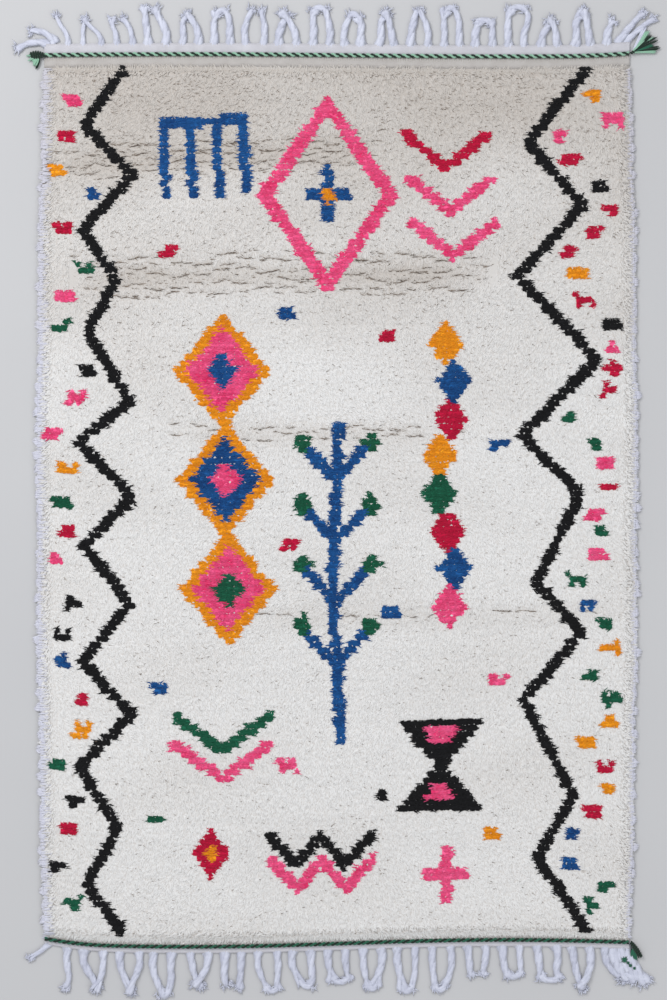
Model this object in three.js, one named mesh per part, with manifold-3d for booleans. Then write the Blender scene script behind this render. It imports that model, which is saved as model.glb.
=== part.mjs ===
// A hand-knotted wool rug that lies flat on the floor.
// The knotted cloth is one lumpy slab with locks of pile at its two sides. Past a twined cord at each end
// lies a narrow woven web that carries the fringe, and three of the cords' ends are tied into tassels.
// Millimetres, +Z up, +Y towards the rug's head end. The origin is the middle of the rug's underside.
import * as THREE from "three";
import { mergeVertices } from "three/addons/utils/BufferGeometryUtils.js";
import Module from "manifold-3d";

// Driving dimensions
const WIDTH_MIDDLE = 1564;
const WIDTH_ENDS = 1526;
const LENGTH = 2370; // from where one fringe starts to where the other does
const STRAIGHT_END = 90; // past this near each end the cloth's sides run straight
const WEB_THICKNESS = 4;
const PILE_HEIGHT = 18; // floor to the top of the lying pile
const RIM_HEIGHT = 11;
const GAP = 0.3; // between two pieces that touch

// The two ends. side is +1 at the head. web is the weave from the fringe to the cord, and band the bare weave
// from the cord to the pile. wave and cornerLift bend the end's line, and the lift is at the corner on
// liftSide. drift is how far a strand's tip strays sideways at the left edge, the middle and the right edge.
const ENDS = {
  head: {
    side: 1, web: 30, band: 32, wave: -3, liftSide: 1, cornerLift: 7,
    strands: 36, shortest: 56, longest: 98, drift: [-34, -2, 10],
  },
  foot: {
    side: -1, web: 18, band: 11, wave: 9, liftSide: -1, cornerLift: 16,
    strands: 34, shortest: 74, longest: 116, drift: [4, 6, 20],
  },
};

// Lines along which the rug was folded away, where the pile stays parted
const CREASES = [
  { y: 905, west: -790, east: 120, slope: 0.05, depth: 4.5 },
  { y: 585, west: -700, east: 420, slope: 0.02, depth: 5 },
  { y: 168, west: -480, east: 330, slope: -0.01, depth: 3.5 },
  { y: -310, west: -300, east: 790, slope: 0.02, depth: 2.5 },
];
const CREASE_HALF_WIDTH = 34;

// The grid of the cloth's upper face
const COLUMNS = 22;
const ROWS = 50;
const RIM_COLUMN = 24; // width of the outermost column, where the pile rolls down
const PILE_RAMP = 18; // length over which the pile rises from the bare band

// Locks of pile that stick out at the two sides
const RIM_LOCKS = 60; // a side
const RIM_LOCK = { inside: 11, shortest: 7, longest: 19, width: 17, tip: 5, height: 10, droop: 12 };

// Fringe strands
const STRAND = { width: 19, tip: 12, height: 9, tipHeight: 6, inside: 5, bow: 5, steps: 4 };
const PAIR_CLEARANCE = 3; // between the tips of two strands that lean together

// The longer strands at the corners, which lie out past the cloth's edge: where each starts, bends and ends
const CORNER_STRANDS = [
  { end: "head", width: 18, root: [-752, 1183], bend: [-790, 1200], tip: [-842, 1172] },
  { end: "head", width: 17, root: [-737, 1187], bend: [-758, 1224], tip: [-806, 1220] },
  { end: "head", width: 17, root: [734, 1186], bend: [764, 1232], tip: [804, 1270] },
  { end: "head", width: 15, root: [752, 1188], bend: [794, 1230], tip: [832, 1254] },
  { end: "foot", width: 12, root: [-748, -1164], bend: [-772, -1188], tip: [-806, -1208] },
  { end: "foot", width: 18, root: [722, -1182], bend: [742, -1236], tip: [778, -1278] },
  { end: "foot", width: 20, root: [746, -1184], bend: [776, -1226], tip: [816, -1276] },
];

// Twined cords
const CORD = { width: 9, height: 7.5, step: 6, neck: 0.74, zigzag: 1.6, endInset: 1 };

// The tassels, where a cord's tail is knotted at a corner of the cloth. corner is -1 at the left. heading is
// the way that it points, in degrees from +X, and fan the angle over which its strands spread.
const TASSELS = [
  { name: "tassel_head_left", end: "head", corner: -1, heading: 184, fan: 40, strands: 5, length: 36, knot: 24 },
  { name: "tassel_head_right", end: "head", corner: 1, heading: 28, fan: 46, strands: 8, length: 84, knot: 22 },
  { name: "tassel_foot_right", end: "foot", corner: 1, heading: -56, fan: 26, strands: 5, length: 46, knot: 18 },
];
const TASSEL_STRAND = { width: 8, tip: 5, height: 9, tipHeight: 5, steps: 3 };
const TASSEL_KNOT = { start: 7, height: 14, steps: 3, sides: 8 };

const HALF_LENGTH = LENGTH / 2;

// Small repeatable random numbers: the same seeds give the same rug each time.
function chance(a, b = 0) {
  const value = Math.sin(a * 12.9898 + b * 78.233 + 4.1) * 43758.5453;
  return value - Math.floor(value);
}

const between = (low, high, share) => low + (high - low) * share;

// Half the cloth's width at a place along it: widest in the middle, with hand-woven unevenness.
function halfWidth(y) {
  const inner = THREE.MathUtils.clamp(y, STRAIGHT_END - HALF_LENGTH, HALF_LENGTH - STRAIGHT_END);
  const along = inner / HALF_LENGTH;
  const bulge = between(WIDTH_ENDS, WIDTH_MIDDLE, 1 - along * along) / 2;
  return bulge + 1.6 * Math.sin(inner / 83) + 1.1 * Math.sin(inner / 37 + 1);
}

// The line where an end's fringe starts.
function fringeLine(end, x) {
  const across = x / (WIDTH_MIDDLE / 2);
  const corner = Math.max(0, (end.liftSide * across - 0.75) / 0.25);
  const stray = end.wave * Math.sin(Math.PI * 0.95 * across - 0.1) + end.cornerLift * corner ** 2;
  return end.side * HALF_LENGTH + stray;
}

// The line of an end's twined cord.
const cordLine = (end, x) => fringeLine(end, x) - end.side * end.web;

// How high the lying pile stands off the floor.
function pileHeight(x, y, column, row) {
  const swell = 1.5 * Math.sin(x / 96 + 0.8 * Math.sin(y / 140)) + 1.3 * Math.sin(y / 68 + x / 230);
  const lump = 2.4 * (chance(column, row) - 0.5);
  let height = PILE_HEIGHT + swell + lump;
  for (const crease of CREASES) {
    if (x > crease.west && x < crease.east) {
      const away = (y - crease.y - crease.slope * x) / CREASE_HALF_WIDTH;
      height -= crease.depth * Math.exp(-away * away);
    }
  }
  return height;
}

// A place between -1 and 1 across the cloth for each column, with a narrow column at each rim.
function columnPlace(column) {
  const rim = RIM_COLUMN / (WIDTH_MIDDLE / 2);
  if (column === 0) return -1;
  if (column === COLUMNS) return 1;
  return between(-1 + rim, 1 - rim, (column - 1) / (COLUMNS - 2));
}

// Solids that can be joined and cut
const manifold = await Module();
manifold.setup();

function toSolid(geometry) {
  const bare = geometry.clone();
  bare.deleteAttribute("normal");
  bare.deleteAttribute("uv");
  const merged = mergeVertices(bare, 1e-4);
  return new manifold.Manifold(
    new manifold.Mesh({
      numProp: 3,
      vertProperties: merged.attributes.position.array,
      triVerts: new Uint32Array(merged.index.array),
    }),
  );
}

function toGeometry(solid) {
  const mesh = solid.getMesh();
  const geometry = new THREE.BufferGeometry();
  geometry.setAttribute("position", new THREE.BufferAttribute(mesh.vertProperties, 3));
  geometry.setIndex(new THREE.BufferAttribute(mesh.triVerts, 1));
  geometry.computeVertexNormals();
  return geometry;
}

const joined = (solids) => manifold.Manifold.union(solids);

// Moves each point of a geometry to the place that a function gives for it.
function moved(geometry, place) {
  const position = geometry.attributes.position;
  const point = new THREE.Vector3();
  for (let i = 0; i < position.count; i++) {
    point.fromBufferAttribute(position, i);
    const [x, y, z] = place(point);
    position.setXYZ(i, x, y, z);
  }
  return geometry;
}

// A bar of few sides laid along a curve on the plane, flat underneath. widthAt, heightAt and baseAt give its
// width, its height and how far its underside is off the floor, from 0 at the root to 1 at the tip. leanAt
// pushes its top sideways at a step.
function laidBar({ path, steps, sides, widthAt, heightAt, baseAt = () => 0, leanAt = () => 0 }) {
  const bar = new THREE.CylinderGeometry(1, 1, 1, sides, steps, false, Math.PI / sides);
  bar.computeBoundingBox();
  const { min, max } = bar.boundingBox;
  const points = Array.from({ length: steps + 1 }, (_, step) => path.getPoint(step / steps));
  return moved(bar, (point) => {
    const step = Math.round((0.5 - point.y) * steps);
    const t = step / steps;
    const here = points[step];
    const before = points[Math.max(0, step - 1)];
    const after = points[Math.min(steps, step + 1)];
    const away = new THREE.Vector2(after.x - before.x, after.y - before.y).normalize();
    const up = Math.max(0, (max.z - point.z) / (max.z - min.z) - 1e-6);
    const across = ((point.x / max.x) * widthAt(t)) / 2 + leanAt(step) * up;
    return [here.x + away.y * across, here.y - away.x * across, baseAt(t) + up * heightAt(t)];
  });
}

// The knotted cloth

function clothSlab() {
  const box = new THREE.BoxGeometry(1, 1, 1, COLUMNS, ROWS, 1);
  return moved(box, (point) => {
    const column = Math.round((point.x + 0.5) * COLUMNS);
    const row = Math.round((point.y + 0.5) * ROWS);
    const place = columnPlace(column);
    const x = (place * WIDTH_MIDDLE) / 2;
    const foot = cordLine(ENDS.foot, x) + GAP / 2;
    const head = cordLine(ENDS.head, x) - GAP / 2;
    const fromFoot = [0, ENDS.foot.band, ENDS.foot.band + PILE_RAMP];
    const fromHead = [0, ENDS.head.band, ENDS.head.band + PILE_RAMP];
    let y = between(foot + fromFoot[2], head - fromHead[2], (row - 2) / (ROWS - 4));
    if (row < 2) y = foot + fromFoot[row];
    if (row > ROWS - 2) y = head - fromHead[ROWS - row];
    const rim = column === 0 || column === COLUMNS;
    const bare = row < 2 || row > ROWS - 2;
    const pile = pileHeight(x, y, column, row);
    const top = bare ? WEB_THICKNESS : rim ? RIM_HEIGHT * (pile / PILE_HEIGHT) : pile;
    return [place * halfWidth(y), y, point.z > 0 ? top : -1];
  });
}

// What lies under the floor's level is cut away, which leaves the underside one flat face.
function belowFloor() {
  const box = new THREE.BoxGeometry(2 * WIDTH_MIDDLE, 2 * LENGTH, 10);
  return box.translate(0, 0, -5);
}

function rimLock(side, index) {
  const first = cordLine(ENDS.foot, 0) + ENDS.foot.band + 2 * PILE_RAMP;
  const last = cordLine(ENDS.head, 0) - ENDS.head.band - 2 * PILE_RAMP;
  const seed = index + (side > 0 ? 500 : 100);
  const y = between(first, last, (index + 0.5 + 0.5 * (chance(seed, 1) - 0.5)) / RIM_LOCKS);
  const reach = between(RIM_LOCK.shortest, RIM_LOCK.longest, chance(seed, 2) ** 1.5);
  const droop = RIM_LOCK.droop * (chance(seed, 3) - 0.3);
  const plump = between(0.8, 1.1, chance(seed, 4));
  const edge = halfWidth(y);
  const path = new THREE.QuadraticBezierCurve(
    new THREE.Vector2(side * (edge - RIM_LOCK.inside), y),
    new THREE.Vector2(side * (edge + reach / 2), y),
    new THREE.Vector2(side * (edge + reach), y - droop),
  );
  return laidBar({
    path,
    steps: 2,
    sides: 3,
    widthAt: (t) => plump * between(RIM_LOCK.width, RIM_LOCK.tip, t * t),
    heightAt: (t) => between(RIM_LOCK.height, RIM_LOCK.tip, t),
  });
}

function knottedCloth() {
  const parts = [toSolid(clothSlab()).subtract(toSolid(belowFloor()))];
  for (const side of [-1, 1]) {
    for (let index = 0; index < RIM_LOCKS; index++) parts.push(toSolid(rimLock(side, index)));
  }
  return joined(parts);
}

// The fringed webs

// How far the tips stray sideways at a place across the rug.
function driftAt(end, x) {
  const across = x / (WIDTH_MIDDLE / 2);
  const [left, middle, right] = end.drift;
  return across < 0 ? between(middle, left, across ** 2) : between(middle, right, across ** 2);
}

function webStrip(end) {
  const box = new THREE.BoxGeometry(1, 1, 1, COLUMNS, 1, 1);
  return moved(box, (point) => {
    const place = columnPlace(Math.round((point.x + 0.5) * COLUMNS));
    const x = (place * WIDTH_MIDDLE) / 2;
    const outer = point.y * end.side > 0;
    const y = outer ? fringeLine(end, x) : cordLine(end, x) + (end.side * GAP) / 2;
    return [place * halfWidth(end.side * HALF_LENGTH), y, point.z > 0 ? WEB_THICKNESS : 0];
  });
}

// A strand is low where it leaves the web, plump past it and thin at its tip.
function strandBar(path, width) {
  return laidBar({
    path,
    steps: STRAND.steps,
    sides: 4,
    widthAt: (t) => between(width, width * (STRAND.tip / STRAND.width), t ** 2) * (t === 0 ? 0.8 : 1),
    heightAt: (t) => (t === 0 ? WEB_THICKNESS - 0.5 : between(STRAND.height, STRAND.tipHeight, t)),
  });
}

// Strands go in pairs that bow apart and then lean together, as they do where a knot ties them.
function fringeStrand(end, index) {
  const usable = WIDTH_ENDS - STRAND.width - 8;
  const pitch = usable / (end.strands - 1);
  const seed = index + (end.side > 0 ? 1000 : 2000);
  const pair = Math.floor(index / 2) + (end.side > 0 ? 3000 : 4000);
  const x = -usable / 2 + index * pitch;
  const inwards = index % 2 ? -1 : 1;
  const pairLength = between(end.shortest, end.longest, chance(pair, 1));
  const length = pairLength * between(0.93, 1.05, chance(seed, 2));
  const closing = (pitch - STRAND.tip - PAIR_CLEARANCE) / 2;
  const drift = driftAt(end, x) + 5 * (chance(pair, 3) - 0.5);
  const lean = inwards * closing * between(0.45, 1, chance(pair, 4)) + drift;
  const bow = inwards * STRAND.bow * chance(seed, 5);
  const start = fringeLine(end, x);
  const out = (share) => start + end.side * length * share;
  const path = new THREE.CubicBezierCurve(
    new THREE.Vector2(x, start - end.side * STRAND.inside),
    new THREE.Vector2(x - bow, out(0.35)),
    new THREE.Vector2(x - bow / 2 + drift / 2, out(0.7)),
    new THREE.Vector2(x + lean, out(1)),
  );
  return strandBar(path, STRAND.width * between(0.85, 1.1, chance(seed, 6)));
}

function cornerStrand({ root, bend, tip, width }) {
  const points = [root, bend, tip].map(([x, y]) => new THREE.Vector2(x, y));
  return strandBar(new THREE.QuadraticBezierCurve(...points), width);
}

// The corner strands take the place of an end's first and last.
function fringedWeb(name) {
  const end = ENDS[name];
  const parts = [toSolid(webStrip(end))];
  for (let index = 1; index < end.strands - 1; index++) parts.push(toSolid(fringeStrand(end, index)));
  for (const row of CORNER_STRANDS) {
    if (row.end === name) parts.push(toSolid(cornerStrand(row)));
  }
  return joined(parts);
}

// The twined cords: two plies wound round each other, which show as a ridge that zigzags along the top

function twinedCord(end) {
  const reach = halfWidth(end.side * HALF_LENGTH) - CORD.endInset;
  const steps = Math.round((2 * reach) / CORD.step);
  const points = Array.from({ length: steps + 1 }, (_, step) => {
    const x = between(-reach, reach, step / steps);
    return new THREE.Vector2(x, cordLine(end, x));
  });
  const thinning = (t) => (Math.round(t * steps) % 2 ? CORD.neck : 1);
  return laidBar({
    path: { getPoint: (t) => points[Math.round(t * steps)] },
    steps,
    sides: 3,
    widthAt: (t) => CORD.width * thinning(t),
    heightAt: (t) => CORD.height * thinning(t),
    baseAt: () => WEB_THICKNESS + GAP,
    leanAt: (step) => (step % 2 ? CORD.zigzag : -CORD.zigzag),
  });
}

// The tassels

function tasselStrand(from, to) {
  return laidBar({
    path: new THREE.LineCurve(from, to),
    steps: TASSEL_STRAND.steps,
    sides: 4,
    widthAt: (t) => between(TASSEL_STRAND.width, TASSEL_STRAND.tip, t * t) * between(0.5, 1, t ** 0.5),
    heightAt: (t) => between(TASSEL_STRAND.height, TASSEL_STRAND.tipHeight, t),
  });
}

// The knot swells and narrows again along its length, and the strands grow out of its middle.
function tassel({ end, corner, heading, fan, strands, length, knot }, order) {
  const turn = THREE.MathUtils.degToRad(heading);
  const edge = halfWidth(ENDS[end].side * HALF_LENGTH);
  const clear = edge + GAP + (TASSEL_KNOT.start / 2) * Math.abs(Math.sin(turn));
  const start = new THREE.Vector2(corner * clear, cordLine(ENDS[end], corner * edge));
  const towards = (degrees, reach) => {
    const angle = THREE.MathUtils.degToRad(degrees);
    return new THREE.Vector2(Math.cos(angle), Math.sin(angle)).multiplyScalar(reach).add(start);
  };
  const swell = (t) => Math.sin(Math.PI * between(0, 0.8, t));
  const knotBar = laidBar({
    path: new THREE.LineCurve(start, towards(heading, knot)),
    steps: TASSEL_KNOT.steps,
    sides: TASSEL_KNOT.sides,
    widthAt: (t) => between(TASSEL_KNOT.start, knot * 0.8, swell(t)),
    heightAt: (t) => between(TASSEL_KNOT.start, TASSEL_KNOT.height, swell(t)),
  });
  const parts = [toSolid(knotBar)];
  for (let index = 0; index < strands; index++) {
    const angle = heading + fan * (index / (strands - 1) - 0.5);
    const reach = length * between(0.8, 1.04, chance(order * 50 + index, 7));
    const inKnot = towards(heading + (angle - heading) * 0.9, knot * 0.45);
    parts.push(toSolid(tasselStrand(inKnot, towards(angle, reach))));
  }
  return joined(parts);
}

// Wools
const wool = (color, roughness) => new THREE.MeshStandardMaterial({ color, roughness, metalness: 0 });
const IVORY_PILE = "#dcd8d2";
const WHITE_FRINGE = "#d0d2dc";
const GREEN_CORD = "#2c5a45";

const rug = new THREE.Group();

function addPiece(name, geometry, color, roughness) {
  const mesh = new THREE.Mesh(geometry, wool(color, roughness));
  mesh.name = name;
  rug.add(mesh);
}

addPiece("knotted_cloth", toGeometry(knottedCloth()), IVORY_PILE, 0.95);
for (const name of Object.keys(ENDS)) {
  addPiece(`fringed_web_${name}`, toGeometry(fringedWeb(name)), WHITE_FRINGE, 0.9);
  addPiece(`twined_cord_${name}`, twinedCord(ENDS[name]), GREEN_CORD, 0.88);
}
TASSELS.forEach((row, order) => addPiece(row.name, toGeometry(tassel(row, order)), GREEN_CORD, 0.88));

// The corners reach further on some sides than on others, so the middle is measured.
const middle = new THREE.Box3().setFromObject(rug).getCenter(new THREE.Vector3());
rug.position.set(-middle.x, -middle.y, 0);

export default rug;
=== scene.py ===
# %% [markdown]
# # A hand-knotted shag rug, made yarn by yarn
# The rug lies flat and is seen from straight above. Its solids give the size and place of every part, and
# this script dresses them: well over a hundred thousand locks of pile, ropy fringe, twined cords and corner
# tassels. Loading the solids comes first, because everything after it is measured against them.

# %% Load the solids
import math

import bpy
import numpy as np
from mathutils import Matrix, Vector


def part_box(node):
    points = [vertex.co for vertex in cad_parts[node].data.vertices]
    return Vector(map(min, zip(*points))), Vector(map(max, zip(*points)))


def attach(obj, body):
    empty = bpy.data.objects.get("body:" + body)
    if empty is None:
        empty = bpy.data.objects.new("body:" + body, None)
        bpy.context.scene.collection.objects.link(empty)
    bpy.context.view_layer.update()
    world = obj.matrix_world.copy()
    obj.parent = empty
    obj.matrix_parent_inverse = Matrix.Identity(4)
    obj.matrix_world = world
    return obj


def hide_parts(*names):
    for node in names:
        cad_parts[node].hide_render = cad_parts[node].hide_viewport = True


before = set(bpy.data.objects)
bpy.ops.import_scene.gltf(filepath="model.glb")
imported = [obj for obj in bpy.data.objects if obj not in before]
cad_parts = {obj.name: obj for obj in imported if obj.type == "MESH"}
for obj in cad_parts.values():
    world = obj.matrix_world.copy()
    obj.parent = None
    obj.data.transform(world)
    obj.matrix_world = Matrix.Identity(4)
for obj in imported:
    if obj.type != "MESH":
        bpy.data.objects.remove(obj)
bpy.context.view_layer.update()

# %% [markdown]
# ## The rug's own sizes
# A weaver sets the width, the length and how far the weave runs on past the pile, and hand work then makes
# all of them waver. The same few sizes and formulas shaped the solids, so each part here starts where its
# solid does, and only loose ends stray a little further. Lengths are in metres, in the rug's own layout:
# x across, y up its length, and the middle between the fringes.

# %% Sizes of the cloth
WIDTH_MIDDLE = 1.564
WIDTH_ENDS = 1.526
LENGTH = 2.370
STRAIGHT_END = 0.090
WEB_THICKNESS = 0.004
PILE_HEIGHT = 0.018
RIM_HEIGHT = 0.011
RIM_WIDTH = 0.024
PILE_RAMP = 0.018
GAP = 0.0003
HALF_LENGTH = LENGTH / 2

# %% Sizes of the two ends
HEAD = dict(
    side=1, web=0.030, band=0.032, wave=-0.003, lift_side=1, corner_lift=0.007,
    strands=36, shortest=0.056, longest=0.098, drift=(-0.034, -0.002, 0.010), seed=1000, pair_seed=3000,
)
FOOT = dict(
    side=-1, web=0.018, band=0.011, wave=0.009, lift_side=-1, corner_lift=0.016,
    strands=34, shortest=0.074, longest=0.116, drift=(0.004, 0.006, 0.020), seed=2000, pair_seed=4000,
)
ENDS = dict(head=HEAD, foot=FOOT)

# %% Creases left by folding, where the pile stays parted
CREASES = [
    dict(y=0.905, west=-0.790, east=0.120, slope=0.05, depth=0.0045, partings=9, spacing=0.0100),
    dict(y=0.585, west=-0.700, east=0.420, slope=0.02, depth=0.005, partings=9, spacing=0.0125),
    dict(y=0.168, west=-0.480, east=0.330, slope=-0.01, depth=0.0035, partings=3, spacing=0.016),
    dict(y=-0.310, west=-0.300, east=0.790, slope=0.02, depth=0.0025, partings=1, spacing=0.018),
]
CREASE_HALF_WIDTH = 0.034

# %% Lines and heights of the hand-woven shape
EDGE_WAVES = [  # how far each wave of the sides swings, over what length, and where it starts
    dict(swing=0.0016, length=0.083, start=0),
    dict(swing=0.0011, length=0.037, start=1),
]
CORNER_START = 0.75  # of half the width: past it an end bends at its lifted corner
END_WAVE_TURN = math.pi * 0.95  # of an end's slow wave, from the middle to a corner
END_WAVE_START = -0.1
SWELLS = dict(across=0.0015, along=0.0013)  # how high the pile's slow waves are


def chance(a, b):
    """A repeatable random number from 0 to 1 for a pair of whole numbers."""
    value = np.sin(np.asarray(a) * 12.9898 + b * 78.233 + 4.1) * 43758.5453
    return value - np.floor(value)


def between(low, high, share):
    return low + (high - low) * share


def half_width(y):
    """Half the cloth's width at y."""
    inner = np.clip(y, STRAIGHT_END - HALF_LENGTH, HALF_LENGTH - STRAIGHT_END)
    width = between(WIDTH_ENDS, WIDTH_MIDDLE, 1 - (inner / HALF_LENGTH) ** 2) / 2
    for wave in EDGE_WAVES:
        width = width + wave["swing"] * np.sin(inner / wave["length"] + wave["start"])
    return width


def fringe_line(end, x):
    """The y where an end's fringe starts."""
    across = np.asarray(x) / (WIDTH_MIDDLE / 2)
    corner = np.maximum(0, (end["lift_side"] * across - CORNER_START) / (1 - CORNER_START))
    wave = end["wave"] * np.sin(END_WAVE_TURN * across + END_WAVE_START)
    return end["side"] * HALF_LENGTH + (wave + end["corner_lift"] * corner**2)


def cord_line(end, x):
    """The y of an end's twined cord."""
    return fringe_line(end, x) - end["side"] * end["web"]


def pile_edge(end, x):
    """The y where the pile meets an end's bare band."""
    return cord_line(end, x) - end["side"] * end["band"]


def crease_depth(x, y):
    """How far each crease presses the pile down, from 0 to 1, one after another."""
    for crease in CREASES:
        away = (y - crease["y"] - crease["slope"] * x) / CREASE_HALF_WIDTH
        inside = (x > crease["west"]) & (x < crease["east"])
        yield crease, inside * np.exp(-away * away)


def pile_height(x, y):
    """How high the lying pile stands, with its swells, creases, rolled-down rims and ends."""
    height = PILE_HEIGHT + SWELLS["across"] * np.sin(x / 0.096 + 0.8 * np.sin(y / 0.140))
    height += SWELLS["along"] * np.sin(y / 0.068 + x / 0.230)
    for crease, share in crease_depth(x, y):
        height -= crease["depth"] * share
    from_rim = np.clip((half_width(y) - np.abs(x)) / RIM_WIDTH, 0, 1)
    from_end = np.minimum(pile_edge(HEAD, x) - y, y - pile_edge(FOOT, x))
    height *= between(RIM_HEIGHT / PILE_HEIGHT, 1, np.sin(from_rim * math.pi / 2))
    return between(WEB_THICKNESS, height, np.clip(from_end / PILE_RAMP, 0, 1))


# %% From the rug's layout to the solids' frame
edge_x = np.linspace(-WIDTH_ENDS / 2, WIDTH_ENDS / 2, 2001)
cord_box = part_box("twined_cord_head")
SHIFT = Vector((
    (cord_box[0].x + cord_box[1].x) / 2,
    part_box("knotted_cloth")[0].y - float(cord_line(FOOT, edge_x).min()) - GAP / 2,
    0,
))
print("the rug's layout is moved by", [round(v * 1000, 2) for v in SHIFT], "mm")

# %% [markdown]
# ## Camera, floor and light
# The picture looks straight down, so the camera hangs over the rug's middle with a long lens, which keeps
# both ends the same width. Wool has no gloss: what shows it is soft light that still comes a little from one
# side, so that each lock has a brighter and a darker flank. A large high lamp gives that, and a weaker one
# across from it and a pale sky fill the shadows.

# %% Camera
PICTURE_HEIGHT = 2.618  # what the picture covers from top to bottom, at the floor
PICTURE_MIDDLE = (-0.0092, -0.0079)
LENS = 85
SENSOR = 36

camera = bpy.data.cameras.new("camera")
camera.lens = LENS
camera.sensor_width = SENSOR
camera_object = bpy.data.objects.new("camera", camera)
camera_object.location = SHIFT + Vector((*PICTURE_MIDDLE, PICTURE_HEIGHT * LENS / SENSOR))
bpy.context.scene.collection.objects.link(camera_object)
bpy.context.scene.camera = camera_object
bpy.context.scene.view_settings.view_transform = "Standard"
print("the camera hangs", round(camera_object.location.z, 2), "m over the floor")

# %% Floor
FLOOR_REACH = 80.0  # to each side of the middle
FLOOR_LEVEL = -0.0006  # just under the rug

floor_mesh = bpy.data.meshes.new("floor")
floor_corners = [(-1, -1), (1, -1), (1, 1), (-1, 1)]
floor_mesh.from_pydata(
    [(FLOOR_REACH * x, FLOOR_REACH * y, FLOOR_LEVEL) for x, y in floor_corners], [], [(0, 1, 2, 3)]
)
floor = bpy.data.objects.new("floor", floor_mesh)
bpy.context.scene.collection.objects.link(floor)

# %% Lamps and sky
SKY_COLOR = (0.95, 0.97, 1.0, 1)
SKY_STRENGTH = 0.66


def lamp(name, size, power, place):
    """A round soft lamp that points at the rug's middle."""
    light = bpy.data.lights.new(name, "AREA")
    light.shape = "DISK"
    light.size = size
    light.energy = power
    hung = bpy.data.objects.new(name, light)
    hung.location = place
    hung.rotation_euler = (-Vector(place)).to_track_quat("-Z", "Y").to_euler()
    bpy.context.scene.collection.objects.link(hung)


lamp("key", size=3.0, power=155, place=(-2.6, 2.8, 4.6))
lamp("fill", size=4.0, power=48, place=(3.6, -3.0, 4.2))
sky = bpy.data.worlds.new("sky")
sky.use_nodes = True
sky_light = sky.node_tree.nodes["Background"]
sky_light.inputs["Color"].default_value = SKY_COLOR
sky_light.inputs["Strength"].default_value = SKY_STRENGTH
bpy.context.scene.world = sky

# %% [markdown]
# ## A short way to write shader maths
# A material here is a small sum: a yarn's dark and light tone, mixed by how each lock took the dye, and a
# little noise. Written as nodes one by one it would hide the idea, so a wrapped socket answers to plus,
# minus and times.

# %% Sockets that can be added and multiplied


class Value:
    """A node's output. Arithmetic on it adds Math nodes."""

    def __init__(self, finish, socket):
        self.finish = finish
        self.socket = socket

    def math(self, operation, left, right):
        return self.finish.node("Math", {"operation": operation}, {0: left, 1: right})

    def __add__(self, other):
        return self.math("ADD", self, other)

    def __sub__(self, other):
        return self.math("SUBTRACT", self, other)

    def __rsub__(self, other):
        return self.math("SUBTRACT", other, self)

    def __mul__(self, other):
        return self.math("MULTIPLY", self, other)

    __radd__ = __add__
    __rmul__ = __mul__


# %% A material that is being written


class Finish:
    """Nodes are added by one method, and surface closes the material."""

    def __init__(self, name):
        self.material = bpy.data.materials.new(name)
        self.material.use_nodes = True
        self.tree = self.material.node_tree
        self.tree.nodes.clear()

    def node(self, kind, settings=None, sockets=None, output=0):
        """One node: its settings first, then a value or a link for each socket named or numbered."""
        made = self.tree.nodes.new("ShaderNode" + kind)
        for key, value in (settings or {}).items():
            setattr(made, key, value)
        for key, value in (sockets or {}).items():
            if isinstance(value, Value):
                self.tree.links.new(value.socket, made.inputs[key])
            else:
                made.inputs[key].default_value = value
        return Value(self, made.outputs[output] if made.outputs else None)

    def attribute(self, name):
        return self.node("Attribute", {"attribute_name": name}, output="Fac")

    def noise(self, scale, detail=2.0):
        place = self.node("TexCoord", output="Object")
        return self.node("TexNoise", {}, {"Vector": place, "Scale": scale, "Detail": detail})

    def mix(self, first, second, share):
        return self.node("Mix", {"data_type": "RGBA"}, {0: share, 6: first, 7: second}, output=2)

    def scale(self, color, factor):
        return self.node("VectorMath", {"operation": "SCALE"}, {0: color, "Scale": factor})

    def bump(self, height, strength, distance):
        return self.node("Bump", {}, {"Strength": strength, "Distance": distance, "Height": height})

    def surface(self, sockets):
        """Wool's shader: rough, with the faint sheen of stray fibres."""
        wool = {"Roughness": 0.92, "Sheen Weight": 0.25, "Sheen Roughness": 0.6, "Specular IOR Level": 0.2}
        shader = self.node("BsdfPrincipled", {}, {**wool, **sockets})
        self.node("OutputMaterial", {}, {"Surface": shader})
        return self.material


def color(red, green, blue):
    """A colour as a picture gives it, 0 to 255, as the light that a shader counts in."""
    shares = [channel / 255 for channel in (red, green, blue)]
    return (*[s / 12.92 if s <= 0.04045 else ((s + 0.055) / 1.055) ** 2.4 for s in shares], 1)


# %% The floor's finish
floor_finish = Finish("pale_floor")
cloudy = floor_finish.noise(scale=1.5)
floor_tone = floor_finish.mix(color(196, 196, 198), color(204, 204, 205), cloudy)
floor_mesh.materials.append(floor_finish.surface({"Base Color": floor_tone, "Sheen Weight": 0.0}))

# %% [markdown]
# ## Many strands at once
# A rug is nothing but strands: locks, fringe, plies and hairs. Each can be a tapering tube along a spine of
# a few points. Blender's hair would draw them, but hair isn't a mesh that can be kept, so one function lays
# out thousands of closed tubes as plain arrays. Each tube also gets its own small cell of the flat map, so
# that its colours can be painted into an image later without two strands sharing a place.

# %% Strands as closed tubes
END_RADIUS = 0.4  # of the closed end at a tube's root, in its cell
NEARLY_NOTHING = 1e-12  # keeps an upright spine from dividing by zero


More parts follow.
